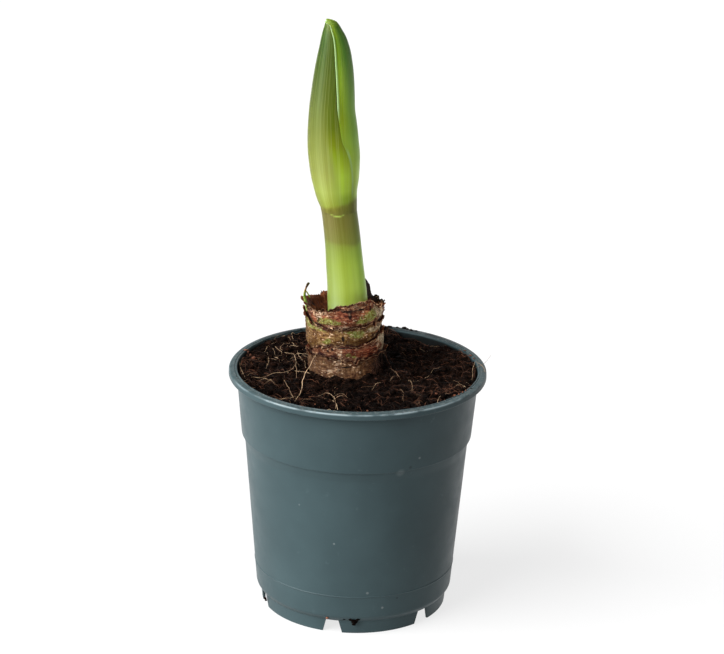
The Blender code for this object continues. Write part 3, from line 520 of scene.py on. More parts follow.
class Look:
    """A Principled material whose colour is painted in layers by procedural nodes."""

    def __init__(self, name):
        self.material = bpy.data.materials.new(name)
        self.material.use_nodes = True
        self.tree = self.material.node_tree
        self.shader = self.tree.nodes["Principled BSDF"]
        self.place = self.node("ShaderNodeTexCoord", {}).outputs["Object"]
        self.colour = None

    def feed(self, socket, value):
        if isinstance(value, bpy.types.NodeSocket):
            self.tree.links.new(value, socket)
        else:
            socket.default_value = value

    def node(self, kind, inputs, **settings):
        """A node with its inputs fed, by name or number, with values or with other nodes' outputs."""
        made = self.tree.nodes.new(kind)
        for key, value in settings.items():
            setattr(made, key, value)
        for key, value in inputs.items():
            self.feed(made.inputs[key], value)
        return made

    def value(self, name):
        """A value that the mesh holds at its points."""
        return self.node("ShaderNodeAttribute", {}, attribute_name=name).outputs["Fac"]

    def scaled(self, factors):
        """The place in the object with each axis stretched by its factor."""
        return self.node("ShaderNodeVectorMath", {0: self.place, 1: factors}, operation="MULTIPLY").outputs[0]

    def noise(self, scale, detail=4.0, roughness=0.55, stretch=None, distortion=0.0, place=None):
        place = place or (self.scaled(stretch) if stretch else self.place)
        return self.node("ShaderNodeTexNoise", {"Vector": place, "Scale": scale, "Detail": detail,
                                                "Roughness": roughness, "Distortion": distortion}).outputs["Fac"]

    def along(self, across, lengthwise, detail):
        """Noise drawn out along a stem or a leaf, by the mesh's turn round it and its height on it."""
        ways = (("turn_x", across), ("turn_y", across), ("rise", lengthwise))
        parts = {k: self.times(self.value(name), factor) for k, (name, factor) in enumerate(ways)}
        return self.noise(1.0, detail, 0.5, place=self.node("ShaderNodeCombineXYZ", parts).outputs[0])

    def near(self, spot, reach):
        """1 at a place, fading to 0 at its reach."""
        off = self.node("ShaderNodeVectorMath", {0: self.place, 1: spot}, operation="DISTANCE")
        return self.span(off.outputs["Value"], reach, reach * 0.3)

    def upright(self):
        """The height in the object."""
        return self.node("ShaderNodeSeparateXYZ", {0: self.place}).outputs["Z"]

    def forward(self):
        """The distance in front of the object's axis."""
        return self.node("ShaderNodeSeparateXYZ", {0: self.scaled((1, -1, 1))}).outputs["Y"]

    def from_axis(self):
        """The distance from the object's upright axis."""
        return self.node("ShaderNodeVectorMath", {0: self.scaled((1, 1, 0))}, operation="LENGTH").outputs["Value"]

    def maths(self, operation, a, b=0.0, clamp=False):
        return self.node("ShaderNodeMath", {0: a, 1: b}, operation=operation, use_clamp=clamp).outputs[0]

    def times(self, first, *others):
        for other in others:
            first = self.maths("MULTIPLY", first, other)
        return first

    def plus(self, first, *others):
        for other in others:
            first = self.maths("ADD", first, other)
        return first

    def off(self, value, middle):
        """How far a value lies from a middle one, on either side."""
        return self.maths("ABSOLUTE", self.maths("SUBTRACT", value, middle))

    def span(self, value, low, high, to_low=0.0, to_high=1.0):
        """The value carried smoothly from one range to another, and held outside it."""
        inputs = {"Value": value, "From Min": low, "From Max": high, "To Min": to_low, "To Max": to_high}
        return self.node("ShaderNodeMapRange", inputs, interpolation_type="SMOOTHSTEP").outputs["Result"]

    def blots(self, texture, *limits, **settings):
        """Where noise of this scale, detail and roughness passes from one limit to the other, as in span."""
        return self.span(self.noise(*texture, **settings), *limits)

    def ramp(self, value, *stops):
        """Colours by a value, as stops of (value, red, green, blue)."""
        made = self.node("ShaderNodeValToRGB", {"Fac": value})
        elements = made.color_ramp.elements
        while len(elements) < len(stops):
            elements.new(0.5)
        for element, (at, *colour) in zip(elements, stops):
            element.position = at
            element.color = tone(*colour)
        return made.outputs["Color"]

    def mix(self, share, low, high, blend="MIX"):
        inputs = {"Factor": share, 6: low, 7: high}
        return self.node("ShaderNodeMix", inputs, data_type="RGBA", blend_type=blend).outputs[2]

    def paint(self, colour, *shares, blend="MIX"):
        """Lays a colour over what is painted so far, by the product of the shares."""
        colour = tone(*colour) if isinstance(colour, tuple) else colour
        self.colour = self.mix(self.times(*shares), self.colour, colour, blend)

    def bump(self, height, distance, after=None):
        inputs = {"Distance": distance, "Height": height} | ({} if after is None else {"Normal": after})
        return self.node("ShaderNodeBump", inputs).outputs["Normal"]

    def finish(self, roughness, normal=None, specular=0.5):
        inputs = self.shader.inputs
        self.feed(inputs["Base Color"], self.colour)
        self.feed(inputs["Roughness"], roughness)
        inputs["Specular IOR Level"].default_value = specular
        if normal is not None:
            self.feed(inputs["Normal"], normal)
        return self.material

    def fleshy(self, roughness, normal):
        """Living tissue, that lets a little light through."""
        self.shader.inputs["Subsurface Weight"].default_value = 0.30
        self.shader.inputs["Subsurface Scale"].default_value = 0.006
        self.shader.inputs["Subsurface Radius"].default_value = (1.0, 1.0, 0.4)
        return self.finish(roughness, normal, 0.11)


def inner_wall_shade(look, height, reach):
    """Painted shade on the wall's inner face above the soil."""
    flare = look.maths("SUBTRACT", reach, look.times(height, POT_DRAFT))
    inner_wall = pot_radius(STEP_HIGH_Z) - STEP_HIGH_Z * POT_DRAFT - 0.5 * POT_WALL
    # darkened copies of the plastic's colour: painted shade in the pot's mouth
    inner_shade = look.ramp(look.noise(240, 5, 0.7), (0.40, 6, 6, 5), (0.58, 13, 16, 16), (0.70, 24, 32, 34))
    look.paint(inner_shade, look.span(flare, inner_wall + 0.00045, inner_wall + 0.0002),
               look.span(height, RIM_TOP_Z - 0.0009, RIM_TOP_Z - 0.0022),
               look.span(height, STEP_HIGH_Z + 0.006, STEP_HIGH_Z + 0.009), 0.96)


def rim_edge_highlight(look, height, reach):
    """A painted highlight along the rim's outer edge, most of all in front."""
    # pale colour painted along the edge as a highlight, stronger towards the front
    look.paint((118, 132, 136), look.span(look.off(reach, RIM_RADIUS - 0.0004), 0.00042, 0.00015),
               look.span(height, RIM_TOP_Z - 0.0016, RIM_TOP_Z - 0.0009),
               look.blots((70, 4), 0.40, 0.60, 0.05, 0.50), look.span(look.forward(), 0.010, 0.055, 0.6, 1.7))


def soil_and_shade_on_rim(look, height):
    """Dust and peat lie on top of the rim, and its back is painted dark as shade."""
    top = look.span(height, RIM_TOP_Z - 0.0012, RIM_TOP_Z - 0.0004)
    look.paint((124, 126, 122), top, look.blots((700, 5, 0.7), 0.46, 0.66, 0.0, 0.30))
    look.paint((40, 32, 26), top, look.blots((420, 6, 0.75), 0.57, 0.67, 0.0, 0.7))
    # painted shade: the rim's top darkened towards the back
    look.paint((14, 22, 24), top, look.span(look.forward(), -0.026, -0.050, 0.0, 0.8),
               look.blots((190, 5, 0.7), 0.38, 0.56, 0.35, 1.0))


def plastic_look():
    """Satin plastic with a fine grain, scuffs and smudges, painted shade inside the mouth and on the rim's back, and
    a painted highlight along the rim's edge.
    """
    look = Look("pot_plastic_look")
    look.colour = look.ramp(look.noise(28, 3), (0.32, 45, 59, 62), (0.68, 51, 66, 69))
    look.paint((104, 120, 124), look.blots((160, 6, 0.7), 0.62, 0.76), 0.13)
    grain = look.noise(1300, 2, 0.5)
    look.paint((24, 34, 36), look.span(grain, 0.72, 0.78, 0.0, 0.3))
    look.paint((96, 112, 114), look.span(grain, 0.25, 0.20, 0.0, 0.35))
    height, reach = look.upright(), look.from_axis()
    # painted shade on the inner wall, and a painted highlight along the rim's edge
    inner_wall_shade(look, height, reach)
    rim_edge_highlight(look, height, reach)
    for angle, z, size, strength, shade in POT_MARKS:
        mark = look.near(polar(angle, pot_radius(z), z), size)
        look.paint((shade, shade * 1.06, shade * 1.06), mark, strength)
    # dust and peat on the rim, and painted shade on its back
    soil_and_shade_on_rim(look, height)
    roughness = look.blots((90, 5, 0.65), 0.3, 0.7, 0.34, 0.44)
    return look.finish(roughness, look.bump(look.noise(1400, 3), 0.00003), 0.13)


def peat_look(name, *stops):
    """Crumbly peat, painted darker in front as shade."""
    look = Look(name)
    look.colour = look.ramp(look.noise(420, 8, 0.7), *stops)
    # painted shade: the darkest colour laid over the peat towards the front
    look.paint(stops[0][1:], look.span(look.forward(), 0.012, 0.040, 0.0, 0.62))
    roughness = look.blots((600, 4), 0.35, 0.65, 0.5, 1.0)
    return look.finish(roughness, look.bump(look.noise(1500, 6, 0.75), 0.0012), 0.03)


def fibre_look(name, dark, light):
    """Small dry bodies, each as light as its tone, a little patchy."""
    look = Look(name)
    share = look.maths("MULTIPLY", look.value("tone"), look.blots((330, 4), 0.3, 0.7, 0.45, 1.3), True)
    look.colour = look.ramp(share, (0.0, *dark), (0.95, *light))
    return look.finish(0.6, look.bump(look.noise(4000, 2), 0.0001), 0.15)


def paint_patch(look, ragged, kind, paint, most, soft=0.16, rough=1.7):
    """Paints where the mesh's value of this kind, made ragged by noise, passes a half."""
    spread = look.plus(look.value(kind), look.times(ragged, rough))
    look.paint(paint, look.span(spread, 0.5 - soft, 0.5 + soft, 0.0, most))


def paint_patches(look, ragged, creases, share):
    """The neck's patches of other colours, each from its own noise."""
    reds = look.ramp(creases, (0.40, 52, 14, 8), (0.49, 106, 44, 24), (0.58, 170, 104, 74))
    greens = look.ramp(look.noise(900, 6, 0.7), (0.38, 88, 52, 26), (0.46, 104, 102, 38), (0.54, 122, 132, 62),
                       (0.64, 158, 160, 104))
    flakes = look.ramp(creases, (0.41, 70, 30, 18), (0.47, 134, 94, 68), (0.53, 182, 152, 122),
                       (0.60, 204, 186, 162))
    ash = look.ramp(share, (0.42, 78, 56, 40), (0.48, 128, 110, 84), (0.54, 164, 150, 120), (0.60, 200, 190, 166))
    paint_patch(look, ragged, "red", reds, 0.8)
    paint_patch(look, ragged, "green", greens, 0.84, 0.24, 2.6)
    paint_patch(look, ragged, "pale", flakes, 0.85, 0.2, 2.9)
    paint_patch(look, ragged, "ash", ash, 0.85, 0.22, 2.2)


def paint_flaws(look):
    """Pale flecks, dark pits and cracks, here and there."""
    look.paint((212, 180, 148), look.blots((1100, 2, 0.5), 0.60, 0.66, stretch=(0.6, 0.6, 1.2)),
               look.blots((240, 4), 0.42, 0.56, 0.0, 0.85))
    look.paint((46, 16, 8), look.blots((950, 2, 0.5), 0.38, 0.33, stretch=(0.5, 0.5, 1.4)),
               look.blots((200, 4), 0.40, 0.58, 0.0, 0.8))
    ridge = look.off(look.noise(330, 5, 0.7, (0.5, 0.5, 1.7)), 0.5)
    look.paint((44, 14, 8), look.span(ridge, 0.016, 0.004), look.blots((130, 4), 0.42, 0.58, 0.0, 0.9))


def paint_edges(look, ragged):
    """Dark red below a torn edge, partly the dry edge's own colour and partly painted shade under the curling lip; a
    pale line along the edge, partly the paper's paler inner face and partly a painted highlight on the lip; and
    painted shade in the crease where the next tunic out ends.
    """
    below = look.plus(look.value("below"), look.times(ragged, 0.0012))
    # dark red below the edge: the dry edge's colour, and painted shade under the lip
    look.paint((56, 16, 9), look.span(below, 0.0015, 0.0007), look.blots((210, 5), 0.34, 0.48), 0.9)
    # pale line along the edge: the paper's paler face, and a painted highlight on the lip
    look.paint((196, 158, 120), look.span(below, 0.00045, 0.0002), look.blots((330, 5), 0.40, 0.54))
    # painted shade in the crease above the next tunic out's edge
    look.paint((36, 10, 6), look.value("crease"), look.blots((300, 4), 0.30, 0.52, 0.2, 1.0))


def paper_look(name, palette, left):
    """Dry scale leaf: blotched brown with fine veins, patches of other colours, and a torn edge, with painted shade
    on its left and painted light on its right.
    """
    look = Look(name)
    veins = look.noise(900, 4, 0.6, (1, 1, 0.08))
    creases = look.noise(520, 7, 0.76, (0.45, 0.45, 2.0))
    share = look.plus(look.times(veins, 0.12), look.times(creases, 0.34),
                      look.times(look.noise(170, 9, 0.74, distortion=0.9), 0.34),
                      look.times(look.noise(620, 3, 0.62, (0.7, 0.7, 1.3)), 0.20))
    look.colour = look.ramp(share, *((at, *colour) for at, colour in zip(PAPER_STOPS, palette)))
    ragged = look.maths("SUBTRACT", look.noise(420, 8, 0.74), 0.5)
    paint_patches(look, ragged, creases, share)
    paint_flaws(look)
    paint_edges(look, ragged)
    inner = look.ramp(look.noise(420, 6, 0.7, (1, 1, 0.3)), (0.36, 58, 22, 10), (0.56, 108, 56, 30),
                      (0.70, 150, 96, 60))
    look.paint(inner, look.value("inside"))
    # painted light and shade across the neck: darker at its left edge and on the left of the lowest tunic, lighter on
    # its right
    across = look.value("across")
    for limits in ((-0.98, -0.70, 0.72, 1.0), (-0.15, 0.12, left, 1.0), (0.25, 0.85, 1.0, 2.5)):
        look.paint(look.span(across, *limits), 1.0, blend="MULTIPLY")
    # dark patches: partly dark tears, partly painted shade on inner faces and along top edges
    paint_patch(look, ragged, "dark", (16, 7, 5), 0.95, 0.12)
    bumps = look.bump(veins, 0.00025, look.bump(look.noise(750, 8, 0.75), 0.0010))
    return look.finish(look.blots((380, 4), 0.3, 0.7, 0.36, 0.72), bumps, 0.14)


def leaf_look(name, left, right, across, stripes, pale, dim, roughness):
    """Green skin: colours by height on its two sides, factors by place across that paint light and shade, stripes
    along it.

    Gives the look with the (roughness, normal) that it is to be finished with.
    """
    look = Look(name)
    rise = look.value("rise")
    look.colour = look.mix(look.value("side"), look.ramp(rise, *left), look.ramp(rise, *right))
    share = look.plus(look.times(look.value("turn_x"), 0.5), 0.5)
    light_factors = [(at, *(255 * part / ACROSS_MOST for part in factors)) for at, factors in zip(ACROSS, across)]
    # painted light and shade: the colour multiplied by place across, left to right
    look.paint(look.ramp(share, *light_factors), 1.0, blend="MULTIPLY")
    look.paint((255 * ACROSS_MOST,) * 3, 1.0, blend="MULTIPLY")
    fine, broad = look.along(30, 1.6, 3), look.along(7, 0.9, 3)
    for colour, stripe in ((pale, fine), (dim, broad)):
        look.paint(colour, look.span(stripe, 0.44, 0.68, 0.0, stripes))
    normal = look.bump(fine, 0.00005, look.bump(look.noise(2500, 3), 0.00002))
    return look, (look.blots((200, 3), 0.3, 0.7, roughness - 0.05, roughness + 0.07), normal)


def pot_radius(z):
    """Outer radius of the pot's wall at a height."""
    step = STEP_OUT * min(max((z - STEP_LOW_Z) / (STEP_HIGH_Z - STEP_LOW_Z), 0.0), 1.0)
    return POT_BASE_RADIUS + POT_DRAFT * (z - POT_BASE_Z) + step


def rounded(corners, steps=5):
    """An outline through corners (height, radius, cut), each rounded over its cut's length of both sides.

    A further point beyond each end of a rounding keeps the shading of the flat that follows it flat.
    """
    path = []
    for k, (z, radius, cut) in enumerate(corners):
        here = Vector((z, radius))
        if cut == 0:
            path.append(here)
            continue
        back, ahead = (Vector(corners[n % len(corners)][:2]) - here for n in (k - 1, k + 1))
        start, end = (here + way.normalized() * min(cut, way.length * 0.44) for way in (back, ahead))
        first, last = (here + way.normalized() * min(cut * 1.5, way.length * 0.48) for way in (back, ahead))
        path.append(first)
        for t in (s / steps for s in range(steps + 1)):
            path.append(start * (1 - t) ** 2 + here * 2 * t * (1 - t) + end * t ** 2)
        path.append(last)
    return path


def pot_corners():
    """The wall's section, from the drain hole in the middle up the inside, over the rim and down outside."""
    inside = [(z, pot_radius(z) - POT_WALL, cut)
              for z, cut in ((FLOOR_TOP_Z, 0.0010), (STEP_LOW_Z, 0.0015), (STEP_HIGH_Z, 0.0020))]
    top, mouth, edge = RIM_TOP_Z, RIM_INNER_RADIUS, RIM_RADIUS
    bead = [(top - down, mouth + out, cut) for down, out, cut in (
        (0.0014, -0.0004, 0.0003), (0.0001, 0, 0.0003), (0.0001, 0.0006, 0.0002), (RIM_GROOVE, 0.0008, 0.0001),
        (RIM_GROOVE, 0.0010, 0.0001), (0.0001, 0.0013, 0.0003))]
    rim = [(top - down, edge - back, cut) for down, back, cut in (
        (0.0004, 0.0006, 0.0003), (0.0009, 0.0001, 0.0003), (0.0033, 0, 0.0004), (0.0036, 0.0007, 0.0003),
        (0.0028, 0.0016, 0.0004))]
    wall = [(z, pot_radius(z) + out, cut) for z, out, cut in (
        (RIM_UNDER_Z, 0.0002, 0.0006), (STEP_HIGH_Z, 0, 0.0002), (STEP_LOW_Z, 0, 0.0012))]
    wall.insert(2, (STEP_HIGH_Z - 0.0003, pot_radius(STEP_HIGH_Z) - 0.0007, 0.0002))
    ridge = [(RIDGE_Z + dz, pot_radius(RIDGE_Z + dz) + out, 0.0) for dz, out in (
        (0.0007, 0.0), (0.00035, 0.0), (0.00015, RIDGE_OUT), (-0.00015, RIDGE_OUT), (-0.00035, 0.0),
        (-0.0007, 0.0))]
    under, inner = FLOOR_TOP_Z - FLOOR_THICKNESS, SKIRT_RADIUS - SKIRT_WALL
    foot = [(POT_BASE_Z, POT_BASE_RADIUS, 0.0010), (0.0074, 0.0484, 0.0005), (0.0070, 0.0479, 0.0003),
            (0.0, SKIRT_RADIUS, 0.0002), (0.0, inner, 0.0002), (under, inner + 0.0003, 0.0006),
            (under, DRAIN_RADIUS, 0.0002)]
    return [(FLOOR_TOP_Z, DRAIN_RADIUS, 0.0002)] + inside + bead + rim + wall + ridge + foot


def wedge(angle):
    """A block that cuts one notch through the skirt, wider at the foot."""
    flare = (NOTCH_FOOT_WIDTH - NOTCH_TOP_WIDTH) / NOTCH_HEIGHT * CUTTER_REACH
    half_foot, half_top = (NOTCH_FOOT_WIDTH + flare) / 2, NOTCH_TOP_WIDTH / 2
    outline = ((-half_foot, -CUTTER_REACH), (half_foot, -CUTTER_REACH), (half_top, NOTCH_HEIGHT),
               (-half_top, NOTCH_HEIGHT))
    mesh = mesh_of("notch_cutter", [(x, y, z) for y in (-0.004, 0.004) for x, z in outline], grid_faces(2, 4))
    turn = Matrix.Rotation(math.radians(angle), 4, "Z")
    mesh.transform(Matrix.Translation(polar(angle, SKIRT_RADIUS, 0)) @ turn)
    return mesh


def drain(angle):
    """A rod that cuts one drain hole through the floor."""
    x, y = around(angle, DRAIN_CIRCLE)
    points = []
    for z in (FLOOR_TOP_Z - FLOOR_THICKNESS - CUTTER_REACH, FLOOR_TOP_Z + CUTTER_REACH):
        for k in range(32):
            dx, dy = around(360 / 32 * k, DRAIN_RADIUS)
            points.append((x + dx, y + dy, z))
    return mesh_of("drain_cutter", points, grid_faces(2, 32))


def carved(mesh, cutters):
    """The mesh with every cutter taken out of it."""
    target = placed("carving", mesh)
    home = bpy.data.collections.new("cutters")
    for cutter in cutters:
        home.objects.link(bpy.data.objects.new("cutter", cutter))
    cut = target.modifiers.new("cut", "BOOLEAN")
    cut.operand_type = "COLLECTION"
    cut.collection = home
    cut.solver = "EXACT"
    graph = bpy.context.evaluated_depsgraph_get()
    result = bpy.data.meshes.new_from_object(target.evaluated_get(graph))
    for cutter in list(home.objects):
        bpy.data.objects.remove(cutter)
    bpy.data.collections.remove(home)
    bpy.data.objects.remove(target)
    return smoothed(result, 40)


def make_pot():
    """The wall turned round its axis, with the skirt's notches and the drain holes cut."""
    section = rounded(pot_corners())
    points = [(*around(360 / POT_COLUMNS * k, radius), z) for z, radius in section for k in range(POT_COLUMNS)]
    mesh = mesh_of("pot_turned", points, grid_faces(len(section), POT_COLUMNS, ring=True), 40)
    pitch = 360 / NOTCH_COUNT
    cutters = [wedge(NOTCH_ANGLE + pitch * k) for k in range(NOTCH_COUNT)]
    cutters += [drain(NOTCH_ANGLE + pitch * (k + 0.5)) for k in range(NOTCH_COUNT)]
    put("pot_shell", carved(mesh, cutters), plastic_look(), "pot_plastic", "pot")


def plant_frame():
    """From the plant's own upright axis to the world."""
    return Matrix.Translation(PLANT_FOOT) @ Matrix.Rotation(math.radians(-PLANT_LEAN), 4, "Y")


def shoulder_z(radius):
    """Height of the bulb's upper side at a radius outside its neck."""
    return between([(r, z) for z, r in BULB_OUTLINE[3:10]], radius)[0]


def tunic_edge(index, angle):
    """Height of a tunic's torn edge."""
    name, height, edge_lobes = TUNICS[index][:3]
    waves = random.Random(name)
    ragged = sum(math.sin(math.radians(n * angle) + waves.uniform(0, 6.28)) for n in (3, 5, 8, 13)) / 2
    return height + lobes(angle, edge_lobes) + TUNIC_RAGGED * ragged


def tunic_levels(index, angle):
    """A tunic's (height, outer radius) from its foot to its edge, without the lip."""
    edge = tunic_edge(index, angle)
    inside = TUNIC_OUTER_RADIUS - TUNIC_PITCH * index
    foot = shoulder_z(inside - TUNIC_THICKNESS - GAP) + 2 * GAP
    if index == 0:
        spread = (edge - foot) / 6
        heights = [foot + spread * k for k in range(5)] + [edge - TUNIC_LIP_HEIGHT, edge]
        return [(z, inside) for z in heights]
    outer = tunic_levels(index - 1, angle)
    outer_edge, outer_radius = outer[-1]
    heights = [foot, outer[3][0], outer[4][0], outer_edge, outer_edge + TUNIC_SWELL_HEIGHT,
               edge - TUNIC_LIP_HEIGHT, edge]
    for k in (5, 4, 3, 2, 1):
        heights[k] = min(heights[k], heights[k + 1] - TUNIC_LEVEL_STEP)
    shown = TUNIC_SHOWN_RADIUS + lobes(angle, TUNICS[index][3])
    levels = [(heights[0], inside), (heights[1], inside)]
    for z in heights[2:]:
        if z <= outer_edge:
            radius = straight(outer, z) - TUNIC_PITCH
        else:
            snug = outer_radius - TUNIC_PITCH
            radius = snug + (shown - snug) * min((z - outer_edge) / TUNIC_SWELL_HEIGHT, 1.0)
        levels.append((z, radius))
    return levels


def bared(index, angle, z):
    """0 where the next tunic out covers a point, rising to 1 above that one's edge."""
    return smoothstep((z - tunic_edge(index - 1, angle)) / TUNIC_SWELL_HEIGHT) if index else 1.0


def tear(index, angle):
    """How the torn edge departs from its smooth line: fine teeth, and here and there a small notch."""
    place = on_circle(angle, 0.013 * index)
    notch = max(noise.noise(place * 500) - 0.30, 0.0)
    teeth = TEETH * noise.noise(place * 330) + FINE_TEETH * noise.noise(place * 1500)
    return teeth - NOTCH_DEPTH * notch


def crumple(index, angle, z):
    """How far the papery skin stands off its smooth sleeve."""
    place = on_circle(angle, z + 0.05 * index)
    pleats, creases = (noise.noise(Vector((place.x * round_it, place.y * round_it, place.z * up_it)))
                       for round_it, up_it in ((700, 110), (300, 1300)))
    return CRUMPLE * (0.8 * noise.noise(place * 190) + 0.4 * pleats + 0.7 * creases)


def tunic_column(index, angle):
    """One upright section of a tunic: (height, radius, depth below the edge, inside or not), up and over."""
    levels = tunic_levels(index, angle)
    foot = levels[0][0]
    edge = levels[-1][0] + tear(index, angle)
    low = max(foot + 0.001, TUNIC_BURIED_Z)
    heights = [foot + (low - foot) * k / TUNIC_BURIED_ROWS for k in range(TUNIC_BURIED_ROWS)]
    heights += [low + (edge - low) * math.sin(math.pi / 2 * k / TUNIC_ROWS) for k in range(TUNIC_ROWS + 1)]
    curl = 0.9 + 2.2 * noise.noise(on_circle(angle, 0.1 * index) * 260)
    out = TUNIC_LIP * smoothstep(bared(index, angle, edge) * 1.5) * max(curl, 0.0)
    outer, inner = [], []
    for z in heights:
        below = edge - z
        radius = straight(levels, min(z, levels[-1][0]))
        radius += out * max(1 - below / TUNIC_LIP_HEIGHT, 0.0) ** 2.5
        if z > low:
            radius += crumple(index, angle, z) * (0.25 + 0.75 * bared(index, angle, z))
        thickness = TUNIC_EDGE_THICKNESS + (TUNIC_THICKNESS - TUNIC_EDGE_THICKNESS) * smoothstep(below / 0.0030)
        outer.append((z, radius, below, 0.0))
        inner.append((z, radius - thickness, below, 1.0))
    return outer + inner[::-2]


def patch_share(kind, angle, z):
    """How far a point of the neck's skin lies in the patches of one kind, from 0 to 1."""
    total = sum(math.exp(-0.7 * ((turned(angle, centre) / width) ** 2 + ((z - height) / tall) ** 2))
                for centre, height, width, tall in NECK_PATCHES[kind])
    return min(total, 1.0)


def crease_shade_share(index, angle, z):
    """1 in the crease where the next tunic out ends against this one, fading just above it: where shade is painted.
    """
    if index == 0:
        return 0.0
    over = z - tunic_edge(index - 1, angle) - tear(index - 1, angle)
    return bell(max(over - CREASE_HEIGHT / 3, 0.0), CREASE_HEIGHT)


def light_across_share(angle):
    """From -1 at the neck's left to 1 at its right, fading to 0 behind: the place across for painted light and shade.
    """
    turn = math.radians(angle)
    return math.sin(turn) * min(1 + math.cos(turn), 1.0)


def make_tunic(index, look):
    """A sleeve round the neck, open at both ends, with a crumpled skin and a torn, curling edge."""
    name = TUNICS[index][0]
    angles = [360 / TUNIC_COLUMNS * k for k in range(TUNIC_COLUMNS)]
    columns = [tunic_column(index, angle) for angle in angles]
    to_world = plant_frame()
    skin = Skin()
    for row in zip(*columns):
        for angle, (z, radius, depth, face) in zip(angles, row):
            point = to_world @ polar(angle, radius, z)
            patches = {kind: patch_share(kind, angle, point.z) if face == 0 or kind == "dark" else 0.0
                       for kind in NECK_PATCHES}
            skin.add([point], below=depth, inside=face, across=(1 - face) * light_across_share(angle),
                     crease=crease_shade_share(index, angle, z) if face == 0 else 0.0, **patches)
    skin.faces = grid_faces(len(columns[0]), TUNIC_COLUMNS, ring=True)
    skin.put(name + "_sheet", look, "tunic_paper", name)


def make_tunics():
    for index, (left, *palette) in enumerate(TUNIC_COLOURS):
        make_tunic(index, paper_look(TUNICS[index][0] + "_look", palette, left))


def neck_surface(angle, z):
    """The neck's skin at an angle and a height on the plant's axis: the outermost tunic that reaches there."""
    for index in range(len(TUNICS)):
        levels = tunic_levels(index, angle)
        if z < levels[-1][0]:
            return straight(levels, z) + crumple(index, angle, z)
    return straight(levels, levels[-1][0])


def scrap_faces(steps, sides):
    """Faces of two sheets of points, one over the other, and of the rim between them."""
    wide = sides + 1
    count = (steps + 1) * wide
    faces = []
    for s in range(steps):
        for k in range(sides):
            a = s * wide + k
            faces.append((a, a + 1, a + wide + 1, a + wide))
            faces.append((count + a, count + a + wide, count + a + wide + 1, count + a + 1))
    rim = (list(range(wide)) + [s * wide + sides for s in range(1, steps + 1)]
           + [steps * wide + k for k in range(sides - 1, -1, -1)] + [s * wide for s in range(steps - 1, 0, -1)])
    return faces + [(a, b, count + b, count + a) for a, b in zip(rim, rim[1:] + rim[:1])]


def scrap(draw, angle, z, length, width, lift, turn, steps=5, sides=4):
    """A thin scrap of skin that peels off the neck, as points and faces: it lies on it at its root."""
    out = polar(angle, 1.0, 0.0)
    across = polar(angle + 90, 1.0, 0.0)
    up = Vector((0, 0, 1))
    turn = math.radians(turn)
    ahead = up * math.cos(turn) + across * math.sin(turn)
    side = ahead.cross(out)
    root = out * (neck_surface(angle, z) + 0.0001) + up * z
    bend = math.radians(lift) * 2 / steps
    top, below = [], []
    place, tilt = root - ahead * length * 0.3, 0.0
    for s in range(steps + 1):
        share = s / steps
        half = width / 2 * (0.7 + 0.5 * draw.random()) * (1 - 0.5 * share ** 2)
        for off in (2 * k / sides - 1 for k in range(sides + 1)):
            spot = place + side * half * off + out * 0.25 * half * off ** 2 * (1 + share)
            top.append(spot + out * SCRAP_THICKNESS / 2)
            below.append(spot - out * SCRAP_THICKNESS / 2)
        tilt += bend * draw.uniform(0.5, 1.5) * (s > 0)
        place = place + (ahead * math.cos(tilt) + out * math.sin(tilt)) * length / steps
    to_world = plant_frame()
    return [to_world @ point for point in top + below], scrap_faces(steps, sides)


def make_scraps():
    """Peeling scraps of dry skin: the ones in view where they are, and others round the neck."""
    draw = random.Random(SCRAP_SEED)
    skin = Skin()
    for angle, z, length, width, lift, turn, shade in SCRAPS:
        skin.add(*scrap(draw, angle, z, length * 0.8, width * 0.7, lift, turn), tone=shade * 0.8)
    for k in range(SCRAP_COUNT):
        angle, z = draw.uniform(0, 360), draw.uniform(0.126, 0.158)
        index = draw.randrange(4)
        if draw.random() < 0.7:
            z = tunic_edge(index, angle) - draw.uniform(0.0, 0.0012)
        size = draw.uniform(0.0006, 0.0016)
        skin.add(*scrap(draw, angle, z, size, size * draw.uniform(0.3, 0.8), draw.uniform(20, 50),
                        draw.uniform(0, 360)), tone=draw.random() ** 1.5 * 0.8)
    skin.put("tunic_scraps", fibre_look("scrap_look", (48, 18, 10), (196, 160, 124)), "tunic_paper")


def fold_mark(angle, z):
    """1 on the pale fold across the front of the stalk's top."""
    turn = turned(angle)
    fold = FOLD_Z + (0.0008 if turn < -3 else 0.0014) * ((turn + 3) / 24) ** 2
    return bell(z - fold, 0.00030) * smoothstep((30 - abs(turn + 2)) / 12)


def make_scape():
    """The flower stalk, with faint ribs and swellings."""
    foot, top = SCAPE[0][0] + GAP, SCAPE[-1][0]
    skin = Skin()
    for row in range(SCAPE_ROWS):
        z = foot + (top - foot) * row / (SCAPE_ROWS - 1)
        x, radius = between(SCAPE, z)
        for angle in (360 / SCAPE_COLUMNS * k for k in range(SCAPE_COLUMNS)):
            ribs = 0.00004 * noise.noise(polar(angle, 2.6, z * 12))
            swell = 0.00010 * noise.noise(polar(angle, 0.8, z * 40))
            dx, dy = around(angle, radius + ribs + swell)
            wavy = 0.02 * noise.noise(polar(angle, 1.5, z * 60))
            turn_x, turn_y = around(angle, 1.0)
            # side: 0 on the stalk's left and 1 on its right, where its colours are painted shaded and lit
            skin.add([(x + dx, SCAPE_Y + dy, z)], rise=(z - foot) / (top - foot) + wavy,
                     side=0.5 + 0.5 * turn_x, mark=fold_mark(angle, z), turn_x=turn_x, turn_y=turn_y)
    skin.faces = grid_faces(SCAPE_ROWS, SCAPE_COLUMNS)
    look, surface = leaf_look("scape_look", *SCAPE_COLOURS, 0.08, (176, 192, 110), (96, 108, 30), 0.33)
    look.paint((150, 174, 76), look.value("mark"), 0.8)
    skin.put("scape_stalk", look.fleshy(*surface), "scape_green", "scape", sharp=50)


